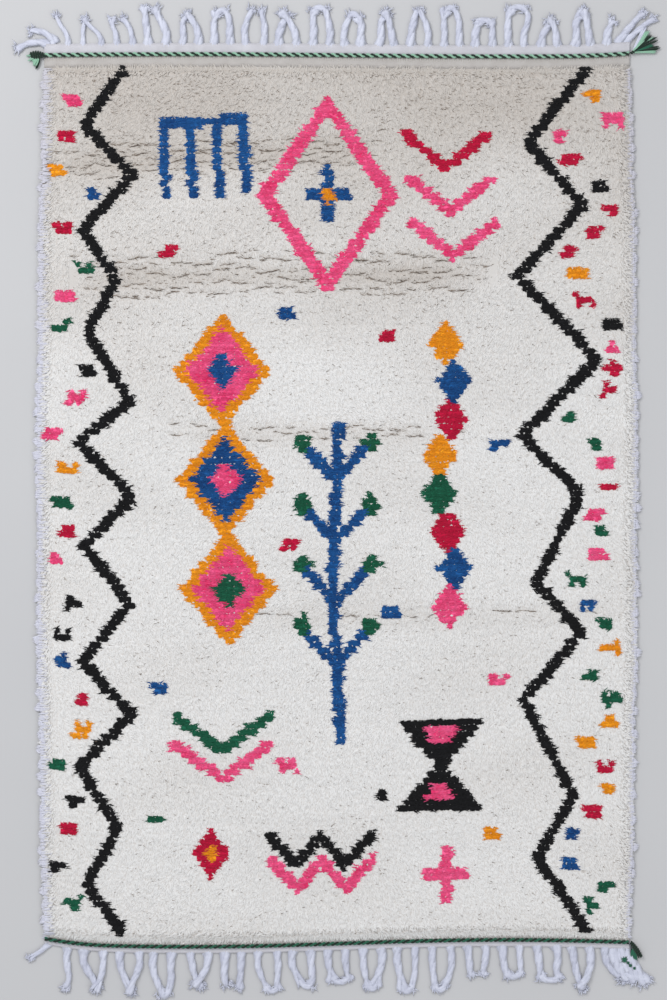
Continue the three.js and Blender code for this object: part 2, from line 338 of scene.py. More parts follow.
def tube_faces(steps, sides):
    """The triangles of one tube, and where each of their corners lies in the tube's cell."""
    faces, flat = [], []
    for ring in range(steps - 2):
        for side in range(sides):
            corners = [(ring, side), (ring, side + 1), (ring + 1, side + 1), (ring + 1, side)]
            for pick in ((0, 1, 2), (0, 2, 3)):
                faces.append([corners[i][0] * sides + corners[i][1] % sides for i in pick])
                flat += [(corners[i][1] / sides, (corners[i][0] + 1) / steps) for i in pick]
    last, tip = (steps - 2) * sides, (steps - 1) * sides
    for side in range(sides):
        faces.append([last + side, last + (side + 1) % sides, tip])
        level = (steps - 1) / steps
        flat += [(side / sides, level), ((side + 1) / sides, level), ((side + 0.5) / sides, 1)]
    for side in range(1, sides - 1):
        faces.append([0, side + 1, side])
        turns = [2 * math.pi * i / sides for i in (0, side + 1, side)]
        flat += [(0.5 + END_RADIUS * math.cos(t), (0.5 + END_RADIUS * math.sin(t)) / steps) for t in turns]
    return np.array(faces), np.array(flat)


def tubes(spines, wide, thick, sides=3, across=None, tone=0.5, warm=0.0):
    """Tubes along spines, which end in a point. wide and thick are half sizes at each point of a spine."""
    spines = np.asarray(spines, float)
    count, steps = spines.shape[:2]
    wide = np.broadcast_to(wide, (count, steps))[:, :-1, None]
    thick = np.broadcast_to(thick, (count, steps))[:, :-1, None]
    forward = np.gradient(spines, axis=1)
    forward /= np.linalg.norm(forward, axis=2, keepdims=True)
    if across is None:
        across = np.stack([-forward[..., 1], forward[..., 0], 0 * forward[..., 0]], axis=2)
        across /= np.linalg.norm(across, axis=2, keepdims=True) + NEARLY_NOTHING
    across = np.broadcast_to(across, spines.shape)
    up = np.cross(forward, across)
    turn = math.pi / 2 + 2 * math.pi * np.arange(sides) / sides
    sideways = across[:, :-1, None] * (wide * np.cos(turn))[..., None]
    upwards = up[:, :-1, None] * (thick * np.sin(turn))[..., None]
    rings = spines[:, :-1, None] + sideways + upwards
    points = np.concatenate([rings.reshape(count, -1, 3), spines[:, -1:]], axis=1)
    faces, flat = tube_faces(steps, sides)
    along = np.append(np.repeat(np.arange(steps - 1), sides), steps - 1) / (steps - 1)
    size = points.shape[1]
    return dict(
        points=points.reshape(-1, 3),
        faces=(faces[None] + size * np.arange(count)[:, None, None]).reshape(-1, 3),
        flat=np.tile(flat, (count, 1)),
        cell=np.repeat(np.arange(count), len(flat)),
        cells=count,
        along=np.tile(along, count),
        tone=np.repeat(np.broadcast_to(tone, count), size),
        warm=np.repeat(np.broadcast_to(warm, count), size),
    )


# %% Woven ground as closed slabs


def slab(columns, row_shares, low_line, high_line, top, inset=0.0, warm=0.0):
    """A closed slab across the rug between two lines. top gives its height at each place."""
    u, v = np.meshgrid(np.linspace(-1, 1, columns + 1), row_shares)
    y = between(low_line(u * WIDTH_MIDDLE / 2), high_line(u * WIDTH_MIDDLE / 2), v)
    x = u * (half_width(y) - inset)
    upper = np.stack([x, y, top(x, y)], axis=2).reshape(-1, 3)
    size = len(upper)
    grid = np.arange(size).reshape(u.shape)
    a, b, c, d = grid[:-1, :-1], grid[:-1, 1:], grid[1:, 1:], grid[1:, :-1]
    face = np.stack([a, b, c, a, c, d], axis=2).reshape(-1, 3)
    rim = np.concatenate([grid[0], grid[1:, -1], grid[-1, -2::-1], grid[-2:0:-1, 0]])
    after = np.roll(rim, -1)
    wall = np.stack([rim + size, after + size, after, rim + size, after, rim], axis=1).reshape(-1, 3)
    place = np.stack([(u.ravel() + 1) / 2, v.ravel()], axis=1)
    step = np.arange(len(rim))[:, None]
    wall_u = (step + [0, 1, 1, 0, 1, 0]) / len(rim)
    wall_v = np.broadcast_to([0, 0, 1, 0, 1, 1], wall_u.shape)
    wall_flat = np.stack([wall_u.ravel(), wall_v.ravel()], axis=1)
    under = face[:, ::-1]
    return dict(
        points=np.concatenate([upper, upper * (1, 1, 0)]),
        faces=np.concatenate([face, under + size, wall]),
        flat=np.concatenate([place[face.ravel()], place[under.ravel()], wall_flat]),
        cell=np.repeat([0, 1, 2], [face.size, under.size, wall.size]),
        cells=3,
        along=np.ones(2 * size),
        tone=np.full(2 * size, 0.5),
        warm=np.tile(np.broadcast_to(warm(x, y) if callable(warm) else warm, x.shape).ravel(), 2),
    )


# %% From arrays to a piece of the rug
CELL_MARGIN = 0.07  # free rim of each strand's cell in the flat map
made_pieces = []


def make_piece(name, batches, material, slot, *stands_for, smooth=True):
    """Joins batches of strands or slabs into one mesh, which rides on the rug and stands for solids."""
    point_starts = np.cumsum([0] + [len(batch["points"]) for batch in batches])
    cell_starts = np.cumsum([0] + [batch["cells"] for batch in batches])
    gather = lambda key: np.concatenate([batch[key] for batch in batches])
    faces = np.concatenate([batch["faces"] + start for batch, start in zip(batches, point_starts)])
    cell = np.concatenate([batch["cell"] + start for batch, start in zip(batches, cell_starts)])
    columns = math.ceil(math.sqrt(cell_starts[-1]))
    rows = math.ceil(cell_starts[-1] / columns)
    corner = np.stack([cell % columns, cell // columns], axis=1)
    flat = (corner + between(CELL_MARGIN, 1 - CELL_MARGIN, gather("flat"))) / (columns, rows)

    mesh = bpy.data.meshes.new(name)
    mesh.vertices.add(point_starts[-1])
    mesh.vertices.foreach_set("co", (gather("points") + np.array(SHIFT)).astype(np.float32).ravel())
    mesh.loops.add(faces.size)
    mesh.loops.foreach_set("vertex_index", faces.astype(np.int32).ravel())
    mesh.polygons.add(len(faces))
    mesh.polygons.foreach_set("loop_start", np.arange(0, faces.size, 3, dtype=np.int32))
    mesh.update(calc_edges=True)
    if smooth:
        mesh.shade_smooth()
    else:
        mesh.shade_flat()
    mesh.uv_layers.new(name="OFBake").data.foreach_set("uv", flat.astype(np.float32).ravel())
    for key in ("along", "tone", "warm"):
        values = mesh.attributes.new(key, "FLOAT", "POINT").data
        values.foreach_set("value", gather(key).astype(np.float32))
    mesh.materials.append(material)

    piece = bpy.data.objects.new(name, mesh)
    bpy.context.scene.collection.objects.link(piece)
    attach(piece, "root")
    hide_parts(*stands_for)
    made_pieces.append(piece)
    print(name, "has", len(faces), "triangles")
    return piece


# %% [markdown]
# ## The ground under the pile
# Under the locks lies a plain wool ground, packed so full of knots that it stands as a soft bed. Only the
# bare bands next to the cords show as weave. The bed follows the pile's swells a little below their height,
# so a gap between two locks shows wool in shade and not a hole. It is more beige by the head end, and along
# the creases, where the beige is painted shade.

# %% Where the wool is drawn more beige, and the creases' painted shade
TONE_PLACES = [-1.18, -0.75, -0.55, 0.30, 0.50, 0.78, 0.98, 1.10]  # along the rug
TONE_SHARES = [0.05, 0.05, 0.00, 0.06, 0.34, 0.46, 0.88, 1.00]  # of the beige tone at those places
TONE_SWAYS = (0.030, 0.018)  # how far the tones' borders wander, in a long wave and a short one
TONE_PATCHES = 0.14
TONE_FADE = 0.16  # length over which a crease's painted shade fades out at its ends
CREASE_SHADE_WARMTH = 90  # beige as painted shade in a crease, for each metre that it is deep
MOST_WARMTH = 1.2


def beige_and_crease_shade(x, y):
    """How beige undyed wool is drawn, from a cool 0 to a beige 1 and a little past it: more towards the head
    end, in patches, and in the creases, where it is painted shade.
    """
    place = y + TONE_SWAYS[0] * np.sin(x / 0.11) + TONE_SWAYS[1] * np.sin(x / 0.043 + 2)
    warm = np.interp(place, TONE_PLACES, TONE_SHARES)
    warm += TONE_PATCHES * np.sin(x / 0.13 + 2 * np.sin(y / 0.19)) * np.sin(y / 0.08 + 1)
    # The creases get painted shade, as a beige that deepens with the crease.
    for crease, share in crease_depth(x, y):
        from_end = np.minimum(x - crease["west"], crease["east"] - x)
        warm += CREASE_SHADE_WARMTH * crease["depth"] * share * np.clip(from_end / TONE_FADE, 0, 1)
    return np.clip(warm, 0, MOST_WARMTH)


# %% Ground and bare bands
BED_SHARE = 0.86  # the bed's height as a share of the pile's
BED_SINK = 0.0006  # how far under the weave's level the bed starts
BED_RAMP = 0.006  # the bed has its full share where the pile is this much over the weave
BED_COLUMNS = 44
BED_ROWS = 104  # between the ramps at its two ends
BED_INSET = 0.003
WEAVE_LENGTH = LENGTH - HEAD["web"] - FOOT["web"]  # from cord to cord
WEAVE_ROWS = np.linspace(0, 1, 4)
RIB_COLUMNS = 504
RIB_DEPTH = 0.0006
WEFT_DEPTH = 0.0002


def bed_top(x, y):
    """The height of the bed that the locks stand in."""
    pile = pile_height(x, y)
    grown = np.clip((pile - WEB_THICKNESS) / BED_RAMP, 0, 1)
    return between(WEB_THICKNESS - BED_SINK, pile * BED_SHARE, grown)


def ribbed(x, y):
    """The warp shows as fine ribs along the rug: every other column of the grid lies lower."""
    lower = np.arange(x.shape[1]) % 2 * RIB_DEPTH
    weft = WEFT_DEPTH * np.sin(np.arange(x.shape[0]) * 2.1)[:, None]
    return WEB_THICKNESS - lower + weft


def ivory_finish(name, cool, beige, root):
    """Undyed wool: warmer or cooler by place, lighter or darker by lock, and with painted shade towards the
    roots.
    """
    finish = Finish(name)
    wool = finish.mix(cool, beige, finish.attribute("warm"))
    # Painted shade: towards a lock's root its colour turns to the dark root colour.
    depth = finish.attribute("along") * 2.0 + 0.45
    shaded = finish.mix(root, wool, depth)
    dye = finish.attribute("tone") * 0.09 + finish.noise(scale=260) * 0.12 + 0.895
    return finish.surface({"Base Color": finish.scale(shaded, dye)})


# The bed's colours are a little darker than the locks': painted shade for the gaps between them. Its third
# colour is painted shade at roots.
bed_wool = ivory_finish("bed_wool", color(224, 222, 220), color(192, 185, 178), color(120, 104, 90))
foot_rows = np.array([0, FOOT["band"], FOOT["band"] + PILE_RAMP / 2]) / WEAVE_LENGTH
head_rows = np.array([HEAD["band"] + PILE_RAMP / 2, HEAD["band"], 0]) / WEAVE_LENGTH
middle_rows = np.linspace(foot_rows[-1], 1 - head_rows[0], BED_ROWS + 2)[1:-1]
bed = slab(
    BED_COLUMNS, np.concatenate([foot_rows, middle_rows, 1 - head_rows]),
    lambda x: cord_line(FOOT, x) + GAP / 2, lambda x: cord_line(HEAD, x) - GAP / 2,
    bed_top, inset=BED_INSET, warm=beige_and_crease_shade,
)
ground = make_piece("knotted_ground", [bed], bed_wool, "ivory_wool", "knotted_cloth")


def woven_finish(name, light, dark):
    """Flat weave: weft picks run across as fine lines in colour and in relief."""
    finish = Finish(name)
    place = finish.node("TexCoord", output="Object")
    picks = finish.node(
        "TexWave", {"bands_direction": "Y"}, {"Vector": place, "Scale": 130, "Distortion": 1.5, "Detail": 2}
    )
    clouds = finish.noise(scale=35, detail=4)
    tone = finish.mix(dark, light, picks * 0.45 + clouds * 0.9 - 0.1)
    relief = finish.bump(picks * 0.6 + finish.noise(scale=700) * 0.5, strength=0.5, distance=0.0008)
    return finish.surface({"Base Color": tone, "Normal": relief})


def woven_strip(name, lines, finish, slot, solid):
    """A piece of ribbed weave that fills the strip between two lines across the rug."""
    low, high = sorted(lines, key=lambda line: float(line(0.0)))
    make_piece(name, [slab(RIB_COLUMNS, WEAVE_ROWS, low, high, ribbed)], finish, slot, solid)


band_wool = woven_finish("band_wool", color(200, 196, 193), color(172, 166, 162))
for name, end in ENDS.items():
    lines = [lambda x: cord_line(end, x) - end["side"] * GAP, lambda x: pile_edge(end, x)]
    woven_strip(f"bare_band_{name}", lines, band_wool, "ivory_wool", "knotted_cloth")

# %% [markdown]
# ## The chart
# A weaver of such rugs ties each knot in one of a few yarns and has no drawn plan: lines wander and lozenges
# lean. The chart is therefore a set of plain rules on places in metres. Each says which knots take which
# yarn. A line is every knot near it, a lozenge is a limit on the sum of two distances, and the margins are
# strewn with dabs.

# %% Marks that the chart is made of
ZIGZAG_SWAY = 0.45  # of the distance between its sides: the range across of a turning point
ZIGZAG_SLIP = 0.4  # of the pitch: its range along


def near_line(x, y, points, width):
    """Knots within half a width of a line through some points."""
    nearest = np.full(x.shape, np.inf)
    for (x0, y0), (x1, y1) in zip(points, points[1:]):
        dx, dy = x1 - x0, y1 - y0
        share = np.clip(((x - x0) * dx + (y - y0) * dy) / (dx * dx + dy * dy), 0, 1)
        nearest = np.minimum(nearest, np.hypot(x - x0 - share * dx, y - y0 - share * dy))
    return nearest < width / 2


def lozenge(x, y, middle, half_wide, half_high):
    """0 at a lozenge's middle, 1 on its outline and more outside it."""
    return np.abs(x - middle[0]) / half_wide + np.abs(y - middle[1]) / half_high


def zigzag(west, east, north, south, legs, seed):
    """The turning points of a line that runs down between two sides, as unevenly as by hand."""
    pitch = (north - south) / legs
    points = []
    for turn in range(legs + 1):
        side = west if turn % 2 else east
        x = side + ZIGZAG_SWAY * (east - west) * (chance(seed + turn, 1) - 0.5)
        y = north - pitch * (turn + ZIGZAG_SLIP * (chance(seed + turn, 2) - 0.5) * (0 < turn < legs))
        points.append((x, y))
    return points


# %% Figures in the field
LINE = 0.024  # width of a drawn line between its spikes


def chevron(x, y, middle, half_wide, drop):
    """A line that points down."""
    cx, cy = middle
    return near_line(x, y, [(cx - half_wide, cy + drop), (cx, cy), (cx + half_wide, cy + drop)], LINE)


def cross(x, y, middle, arm):
    cx, cy = middle
    upright = near_line(x, y, [(cx, cy - arm), (cx, cy + arm)], LINE)
    return upright | near_line(x, y, [(cx - arm * 0.8, cy), (cx + arm * 0.8, cy)], LINE)


def draw_open_lozenge(x, y, tie):
    middle = (-0.025, 0.790)
    ring = lozenge(x, y, middle, 0.165, 0.235)
    tie(np.abs(ring - 1) < 0.115, "pink")
    tie(cross(x, y, middle, 0.062), "blue")
    tie(lozenge(x, y, middle, 0.026, 0.026) < 1, "yellow")


def draw_comb(x, y, tie):
    west, east, top, length = -0.455, -0.245, 0.975, 0.185
    tie(near_line(x, y, [(west, top), (east, top + 0.012)], LINE), "blue")
    for tooth in range(4):
        at = between(west, east, tooth / 3)
        foot = top - length * between(0.8, 1.1, chance(tooth, 5))
        tie(near_line(x, y, [(at, top), (at + 0.008, foot)], LINE * 0.85), "blue")


def draw_chevrons(x, y, tie):
    for order, yarn in enumerate(["crimson", "pink", "pink"]):
        tie(chevron(x, y, (0.285 + 0.010 * order, 0.860 - 0.115 * order), 0.105, 0.085), yarn)


def draw_lozenge_chain(x, y, tie):
    for order, (outer, inner, core) in enumerate([
        ("yellow", "pink", "blue"), ("yellow", "blue", "pink"), ("yellow", "pink", "green"),
    ]):
        ring = lozenge(x, y, (-0.300 + 0.008 * order, 0.330 - 0.285 * order), 0.125, 0.150)
        tie(ring < 1, outer)
        tie(ring < 0.76, inner)
        tie(ring < 0.34, core)


def draw_beads(x, y, tie):
    colours = ["yellow", "blue", "crimson", "yellow", "green", "crimson", "blue", "pink"]
    for order, yarn in enumerate(colours):
        middle = (0.285 + 0.022 * math.sin(order * 1.3), 0.400 - 0.098 * order)
        tie(lozenge(x, y, middle, 0.044, 0.060) < 1, yarn)


def draw_wheat(x, y, tie):
    north, south = 0.190, -0.640
    tie(near_line(x, y, [(0.005, north), (-0.012, (north + south) / 2), (0.010, south)], LINE), "blue")
    for order in range(4):
        foot = north - 0.145 - 0.160 * order
        tie(chevron(x, y, (-0.003, foot), 0.090, 0.095), "blue")
        for side in (-1, 1):
            tie(lozenge(x, y, (side * 0.090, foot + 0.098), 0.024, 0.032) < 1, "green")


def draw_hourglass(x, y, tie):
    middle = (0.270, -0.700)
    across, upright = np.abs(x - middle[0]), np.abs(y - middle[1])
    inside = (upright < 0.120) & (across < upright * 0.85 + 0.012)
    hollow = (upright > 0.052) & (upright < 0.096) & (across < upright * 0.85 - 0.030)
    tie(inside & ~hollow, "black")
    tie(inside & hollow, "pink")


def draw_lower_figures(x, y, tie):
    tie(chevron(x, y, (-0.300, -0.660), 0.120, 0.085), "green")
    tie(chevron(x, y, (-0.300, -0.735), 0.120, 0.085), "pink")
    tie(lozenge(x, y, (-0.330, -0.930), 0.048, 0.066) < 1, "crimson")
    tie(lozenge(x, y, (-0.330, -0.930), 0.018, 0.026) < 1, "yellow")
    tie(cross(x, y, (0.285, -0.985), 0.060), "pink")
    wave = [(-0.175, -0.885), (-0.110, -0.960), (-0.045, -0.885), (0.020, -0.960), (0.085, -0.885)]
    tie(near_line(x, y, wave, LINE), "black")
    tie(near_line(x, y, [(px + 0.005, py - 0.062) for px, py in wave], LINE), "pink")


# %% Zigzag lines and strewn dabs
ZIGZAG_TOP = 1.110
ZIGZAG_FOOT = -1.130
ZIGZAG_CLEARANCE = 0.050  # between the middle of a zigzag's line and a dab's
MARGINS = [
    dict(side=-1, dabs=25, outer=0.736, seed=200,
         line=zigzag(-0.672, -0.552, ZIGZAG_TOP, ZIGZAG_FOOT, legs=16, seed=40)),
    dict(side=1, dabs=36, outer=0.722, seed=300,
         line=zigzag(0.492, 0.652, ZIGZAG_TOP + 0.010, ZIGZAG_FOOT, legs=12, seed=80)),
]
DAB = (0.0180, 0.0140)  # half its width and half its height
DAB_ENDS = (1.090, -1.100)  # between these the margins' dabs lie
STREWN_YARNS = ["crimson", "pink", "yellow", "green", "blue", "pink", "black", "crimson", "pink", "green"]
FIELD_SEED = 400
FIELD_DABS = [
    (-0.130, 0.480, "blue"), (0.130, 0.420, "crimson"), (-0.120, -0.120, "crimson"),
    (0.140, -0.300, "blue"), (-0.460, -0.500, "blue"), (0.430, 0.140, "blue"),
    (0.420, -0.480, "pink"), (-0.440, 0.640, "crimson"), (0.120, -0.780, "black"),
    (-0.130, -0.700, "pink"), (0.410, -0.880, "yellow"), (-0.470, -0.840, "green"),
]


def draw_margins(x, y, tie):
    for margin in MARGINS:
        tie(near_line(x, y, margin["line"], LINE), "black")


def dab(x, y, middle, seed):
    """A small patch: a dash, a leaning diamond, a wedge or a bow."""
    wide = DAB[0] * between(0.8, 1.25, chance(seed, 3))
    high = DAB[1] * between(0.95, 1.25, chance(seed, 4))
    slant = 0.9 * (chance(seed, 5) - 0.5)
    facing = 1 if chance(seed, 8) > 0.5 else -1
    across = facing * (x - middle[0] - slant * (y - middle[1])) / wide
    upright = np.abs(y - middle[1]) / high
    from_middle = np.abs(across)
    limits = [0.8, 1.3 - 1.1 * from_middle, 0.7 + 0.5 * across, 0.6 + 0.6 * from_middle]
    form = int(len(limits) * chance(seed, 6))
    return (from_middle < 1.1) & (upright < limits[form])


def clear_of(margin, y):
    """How far out from the rug's middle a dab at y stays clear of its zigzag."""
    line_x, line_y = np.array(margin["line"]).T
    nearby = y + DAB[1] * np.array([-1, 0, 1])
    return np.interp(-nearby, -line_y, margin["side"] * line_x).max() + ZIGZAG_CLEARANCE


def draw_dabs(x, y, tie):
    """Dabs all down both margins, but for places with no room beside the zigzag, and a few in the field."""
    for margin in MARGINS:
        for order in range(margin["dabs"]):
            number = margin["seed"] + order
            y_middle = between(*DAB_ENDS, (order + 0.3 + 0.4 * chance(number, 1)) / margin["dabs"])
            inner = clear_of(margin, y_middle)
            if inner > margin["outer"]:
                continue
            x_middle = margin["side"] * between(inner, margin["outer"], chance(number, 2))
            yarn = STREWN_YARNS[int(chance(number, 7) * len(STREWN_YARNS))]
            tie(dab(x, y, (x_middle, y_middle), number), yarn)
    for number, (x_middle, y_middle, yarn) in enumerate(FIELD_DABS, FIELD_SEED):
        tie(dab(x, y, (x_middle, y_middle), number), yarn)


# %% The whole chart
YARNS = ["ivory", "black", "pink", "crimson", "blue", "yellow", "green"]


def yarn_chart(x, y):
    """The yarn of each knot, as its place in YARNS."""
    yarn = np.zeros(x.shape, int)

    def tie(knots, name):
        yarn[knots] = YARNS.index(name)

    draw_dabs(x, y, tie)
    draw_margins(x, y, tie)
    for draw in (draw_open_lozenge, draw_comb, draw_chevrons, draw_lozenge_chain, draw_beads, draw_wheat,
                 draw_hourglass, draw_lower_figures):
        draw(x, y, tie)
    return yarn


# %% [markdown]
# ## The pile
# Each knot is a few wool ends that stood up when it was cut and then lay down in use, mostly towards the
# foot end, in slow swirls, and outwards at the two sides. A lock is a three-sided spike whose root is sunk
# in the bed. It costs four triangles, so there can be enough of them for fur, where bent locks would be
# softer but far fewer. Dyed knots were tied with thicker hanks, which cover their ground whole and spring
# apart sideways: each gets a plump core and more spikes. That spring gives the figures their spiky edges.

# %% The knots
KNOT_PITCH = 0.0100
ROW_PITCH = 0.0150
KNOT_SLIP = 0.22  # of a knot's pitch: the range of its place along its row
ROW_WAVE = 0.16  # of a row's pitch, by which it wavers
ROW_SHIFT = 0.006  # the most by which two rows of the chart are out of line
SIDE_INSET = 0.004  # at least this much of each side has no knots
random = np.random.default_rng(11)

columns = round(WIDTH_MIDDLE / KNOT_PITCH)
rows = round((WEAVE_LENGTH - HEAD["band"] - FOOT["band"]) / ROW_PITCH)
row, column = np.meshgrid(np.arange(rows), np.arange(columns), indexing="ij")
share_across = (column + 0.5 + KNOT_SLIP * (random.random(row.shape) - 0.5)) / columns * 2 - 1
share_along = (row + 0.5 + ROW_WAVE * np.sin(column / 9 + row * 0.7)) / rows
knot_y = between(
    pile_edge(FOOT, share_across * WIDTH_MIDDLE / 2),
    pile_edge(HEAD, share_across * WIDTH_MIDDLE / 2),
    share_along,
)
knot_x = share_across * (half_width(knot_y) - SIDE_INSET)
row_shift = ROW_SHIFT * (random.random((rows, 1)) - 0.5)
knot_yarn = yarn_chart(knot_x + row_shift, knot_y)
print(knot_x.size, "knots, of which", int((knot_yarn > 0).sum()), "are dyed")

# %% From knots to locks
IVORY_LOCKS = 7  # to a knot
DYED_LOCKS = 8
IVORY_SPREAD = 1.05  # of a knot's pitch, over which its locks are strewn along the row
DYED_SPREAD = 0.8
ROW_SPREAD = 1.05  # of a row's pitch, over which they are strewn across it
locks = np.where(knot_yarn.ravel() > 0, DYED_LOCKS, IVORY_LOCKS)
lock_x = np.repeat(knot_x.ravel(), locks)
lock_y = np.repeat(knot_y.ravel(), locks)
lock_yarn = np.repeat(knot_yarn.ravel(), locks)
dyed = lock_yarn > 0
lock_count = len(lock_x)
lock_x += KNOT_PITCH * np.where(dyed, DYED_SPREAD, IVORY_SPREAD) * (random.random(lock_count) - 0.5)
lock_y += ROW_PITCH * ROW_SPREAD * (random.random(lock_count) - 0.5)
knot_tone = np.repeat(random.random(knot_x.size), locks)
row_tone = np.repeat(np.broadcast_to(random.random((rows, 1)), knot_x.shape).ravel(), locks)
knot_lean = np.repeat(random.normal(0, 1, knot_x.size), locks)
print(lock_count, "locks")

# %% Which way the locks lie
SIDE_COMB = 0.055  # over this width the pile turns outwards at a side
KNOT_SCATTER = 0.36
LOCK_SCATTER = 0.46
SPRING_SCATTER = 0.28  # of the dyed locks, about straight sideways
OUTWARD_SCATTER = 0.3
OUTWARD_PULL = 1.3
HEAD_ROW = 0.012  # in this depth at the head end many locks lean out over the bare band
HEAD_ROW_SHARE = 0.6  # of them that do


def swirl(x, y):
    """The slow turning of the pile's lie, in radians, about straight down the rug."""
    turning = 0.45 * np.sin(x / 0.21 + 1.7 * np.sin(y / 0.33)) + 0.30 * np.sin(y / 0.17 + x / 0.40)
    return turning - math.pi / 2


angle = swirl(lock_x, lock_y) + KNOT_SCATTER * knot_lean + LOCK_SCATTER * random.normal(0, 1, lock_count)
sideways = np.where(random.random(lock_count) < 0.5, 0.0, math.pi)
angle = np.where(dyed, sideways + SPRING_SCATTER * random.normal(0, 1, lock_count), angle)
lean = np.stack([np.cos(angle), np.sin(angle)], axis=1)
outwards = np.clip(1 - (half_width(lock_y) - np.abs(lock_x)) / SIDE_COMB, 0, 1)[:, None]
outward_lean = np.stack([np.sign(lock_x), OUTWARD_SCATTER * random.normal(0, 1, lock_count)], axis=1)
lean = lean * (1 - outwards) + OUTWARD_PULL * outward_lean * outwards
lean /= np.linalg.norm(lean, axis=1, keepdims=True)
by_head = pile_edge(HEAD, lock_x) - lock_y < HEAD_ROW
leans_out = by_head & (random.random(lock_count) < HEAD_ROW_SHARE)
lean[:, 1] = np.where(leans_out, np.abs(lean[:, 1]), lean[:, 1])

# %% Partings along the creases
PARTING_FADE = 0.14  # length over which partings grow rarer at a crease's ends
PARTING_STRAY = 0.7  # of the spacing: the range of a parting's place
PARTING_WAVES = [  # how far each wave of a parting swings, over what length, and how its start varies
    dict(swing=0.0055, length=0.105, start=1.7),
    dict(swing=0.0030, length=0.041, start=1),
    dict(swing=0.0016, length=0.012, start=2),
]
PARTING_BREAKS = 0.15  # the higher, the more broken a parting is
PARTING_CLOSING = 1.3  # how much more so at a crease's ends


def partings():
    """Each broken, wavering line of parted pile: its y at x, and where along x it is open."""
    for number, crease in enumerate(CREASES):
        for order in range(crease["partings"]):
            phase = 3.7 * order + 1.9 * number
            stray = PARTING_STRAY * (chance(order, 31 + number) - 0.5)
            offset = (order - (crease["partings"] - 1) / 2 + stray) * crease["spacing"]

            def line(x, crease=crease, phase=phase, offset=offset):
                waver = sum(
                    wave["swing"] * np.sin(x / wave["length"] + wave["start"] * phase)
                    for wave in PARTING_WAVES
                )
                return crease["y"] + crease["slope"] * x + offset + waver

            def is_open(x, crease=crease, phase=phase):
                from_end = np.minimum(x - crease["west"], crease["east"] - x)
                closing = PARTING_CLOSING * (1 - np.clip(from_end / PARTING_FADE, 0, 1))
                openness = np.sin(x / 0.034 + 2.3 * phase) + 0.9 * np.sin(x / 0.0125 + phase)
                return (openness > PARTING_BREAKS + closing) & (from_end > 0)

            yield line, is_open


# %% How far the locks reach
IVORY_REACH = (0.011, 0.022)
DYED_REACH = (0.008, 0.016)
DYED_RARITY = 1.5  # the higher, the fewer dyed locks are long
SIDE_REACH = 0.60  # of a lock's reach that is left at the very side
LEAST_REACH = 0.004
LEAST_LEAN = 0.05  # a lock that leans less than this towards a cord counts as leaning this much
FOOT_CLEARANCE = 0.004  # between the last tips and the foot end's cord
HEAD_CLEARANCE = 0.022  # the same at the head end, where the bare band stays bare
PARTING_GAP = 0.0010  # the slit that stays open at a parting

luck = random.random(lock_count)
reach = between(*IVORY_REACH, luck) * between(1, SIDE_REACH, outwards[:, 0])
reach = np.where(dyed, between(*DYED_REACH, luck**DYED_RARITY), reach)
foot_room = (lock_y - cord_line(FOOT, lock_x) - FOOT_CLEARANCE) / np.maximum(-lean[:, 1], LEAST_LEAN)
reach = np.minimum(reach, np.maximum(foot_room, LEAST_REACH))
head_room = (cord_line(HEAD, lock_x) - HEAD_CLEARANCE - lock_y) / np.maximum(lean[:, 1], LEAST_LEAN)
reach = np.minimum(reach, np.maximum(head_room, LEAST_REACH))

# %% Ivory locks stop where a figure begins
STEPS_ALONG = (1.0, 0.75, 0.5, 0.25)
STOP_SHORT = 0.15  # of its reach, by which a lock stops before the step that would cover a figure
full_reach = reach.copy()
for share in STEPS_ALONG:
    at = lock_x + lean[:, 0] * full_reach * share, lock_y + lean[:, 1] * full_reach * share
    covers = (yarn_chart(*at) > 0) & ~dyed
    reach = np.where(covers, np.maximum(full_reach * (share - STOP_SHORT), LEAST_REACH), reach)
print(int((reach < full_reach).sum()), "ivory locks stop at a figure")

# %% Locks stop at a parting
parted = np.zeros(lock_count, bool)
for line, is_open in partings():
    crossing = (line(lock_x) - lock_y) / lean[:, 1]
    stopped = is_open(lock_x) & (crossing > 0) & (crossing < reach)
    reach = np.where(stopped, np.maximum(crossing - PARTING_GAP, LEAST_REACH), reach)
    parted |= stopped
print(int(parted.sum()), "locks stop at a parting")

# %% The shape of a lock
LOCK_HALF_WIDTH = 0.0029
LOCK_HALF_HEIGHT = 0.0011
PLUMPNESS = (0.75, 1.25)
ROOT_SINK = 0.0003  # of a root under the bed's top
TIP_LIFT = (0.0006, 0.0030)  # of a tip over the bed
DYED_LIFT = 0.0014  # thicker dyed yarn lies on top of the ivory
PARTED_SINK = 0.0016  # of a tip at a parting
# beige added to locks that stop at a parting: painted shade beside its slit
PARTED_SHADE_WARMTH = 0.35
ROLL_START = 0.003  # tips less than this inside the side's edge, or past it, roll down
ROLLED_HEIGHT = 0.6  # of their height that they keep
TONE_PARTS = dict(knot=0.30, row=0.35, lock=0.35)  # what a lock's tone comes from

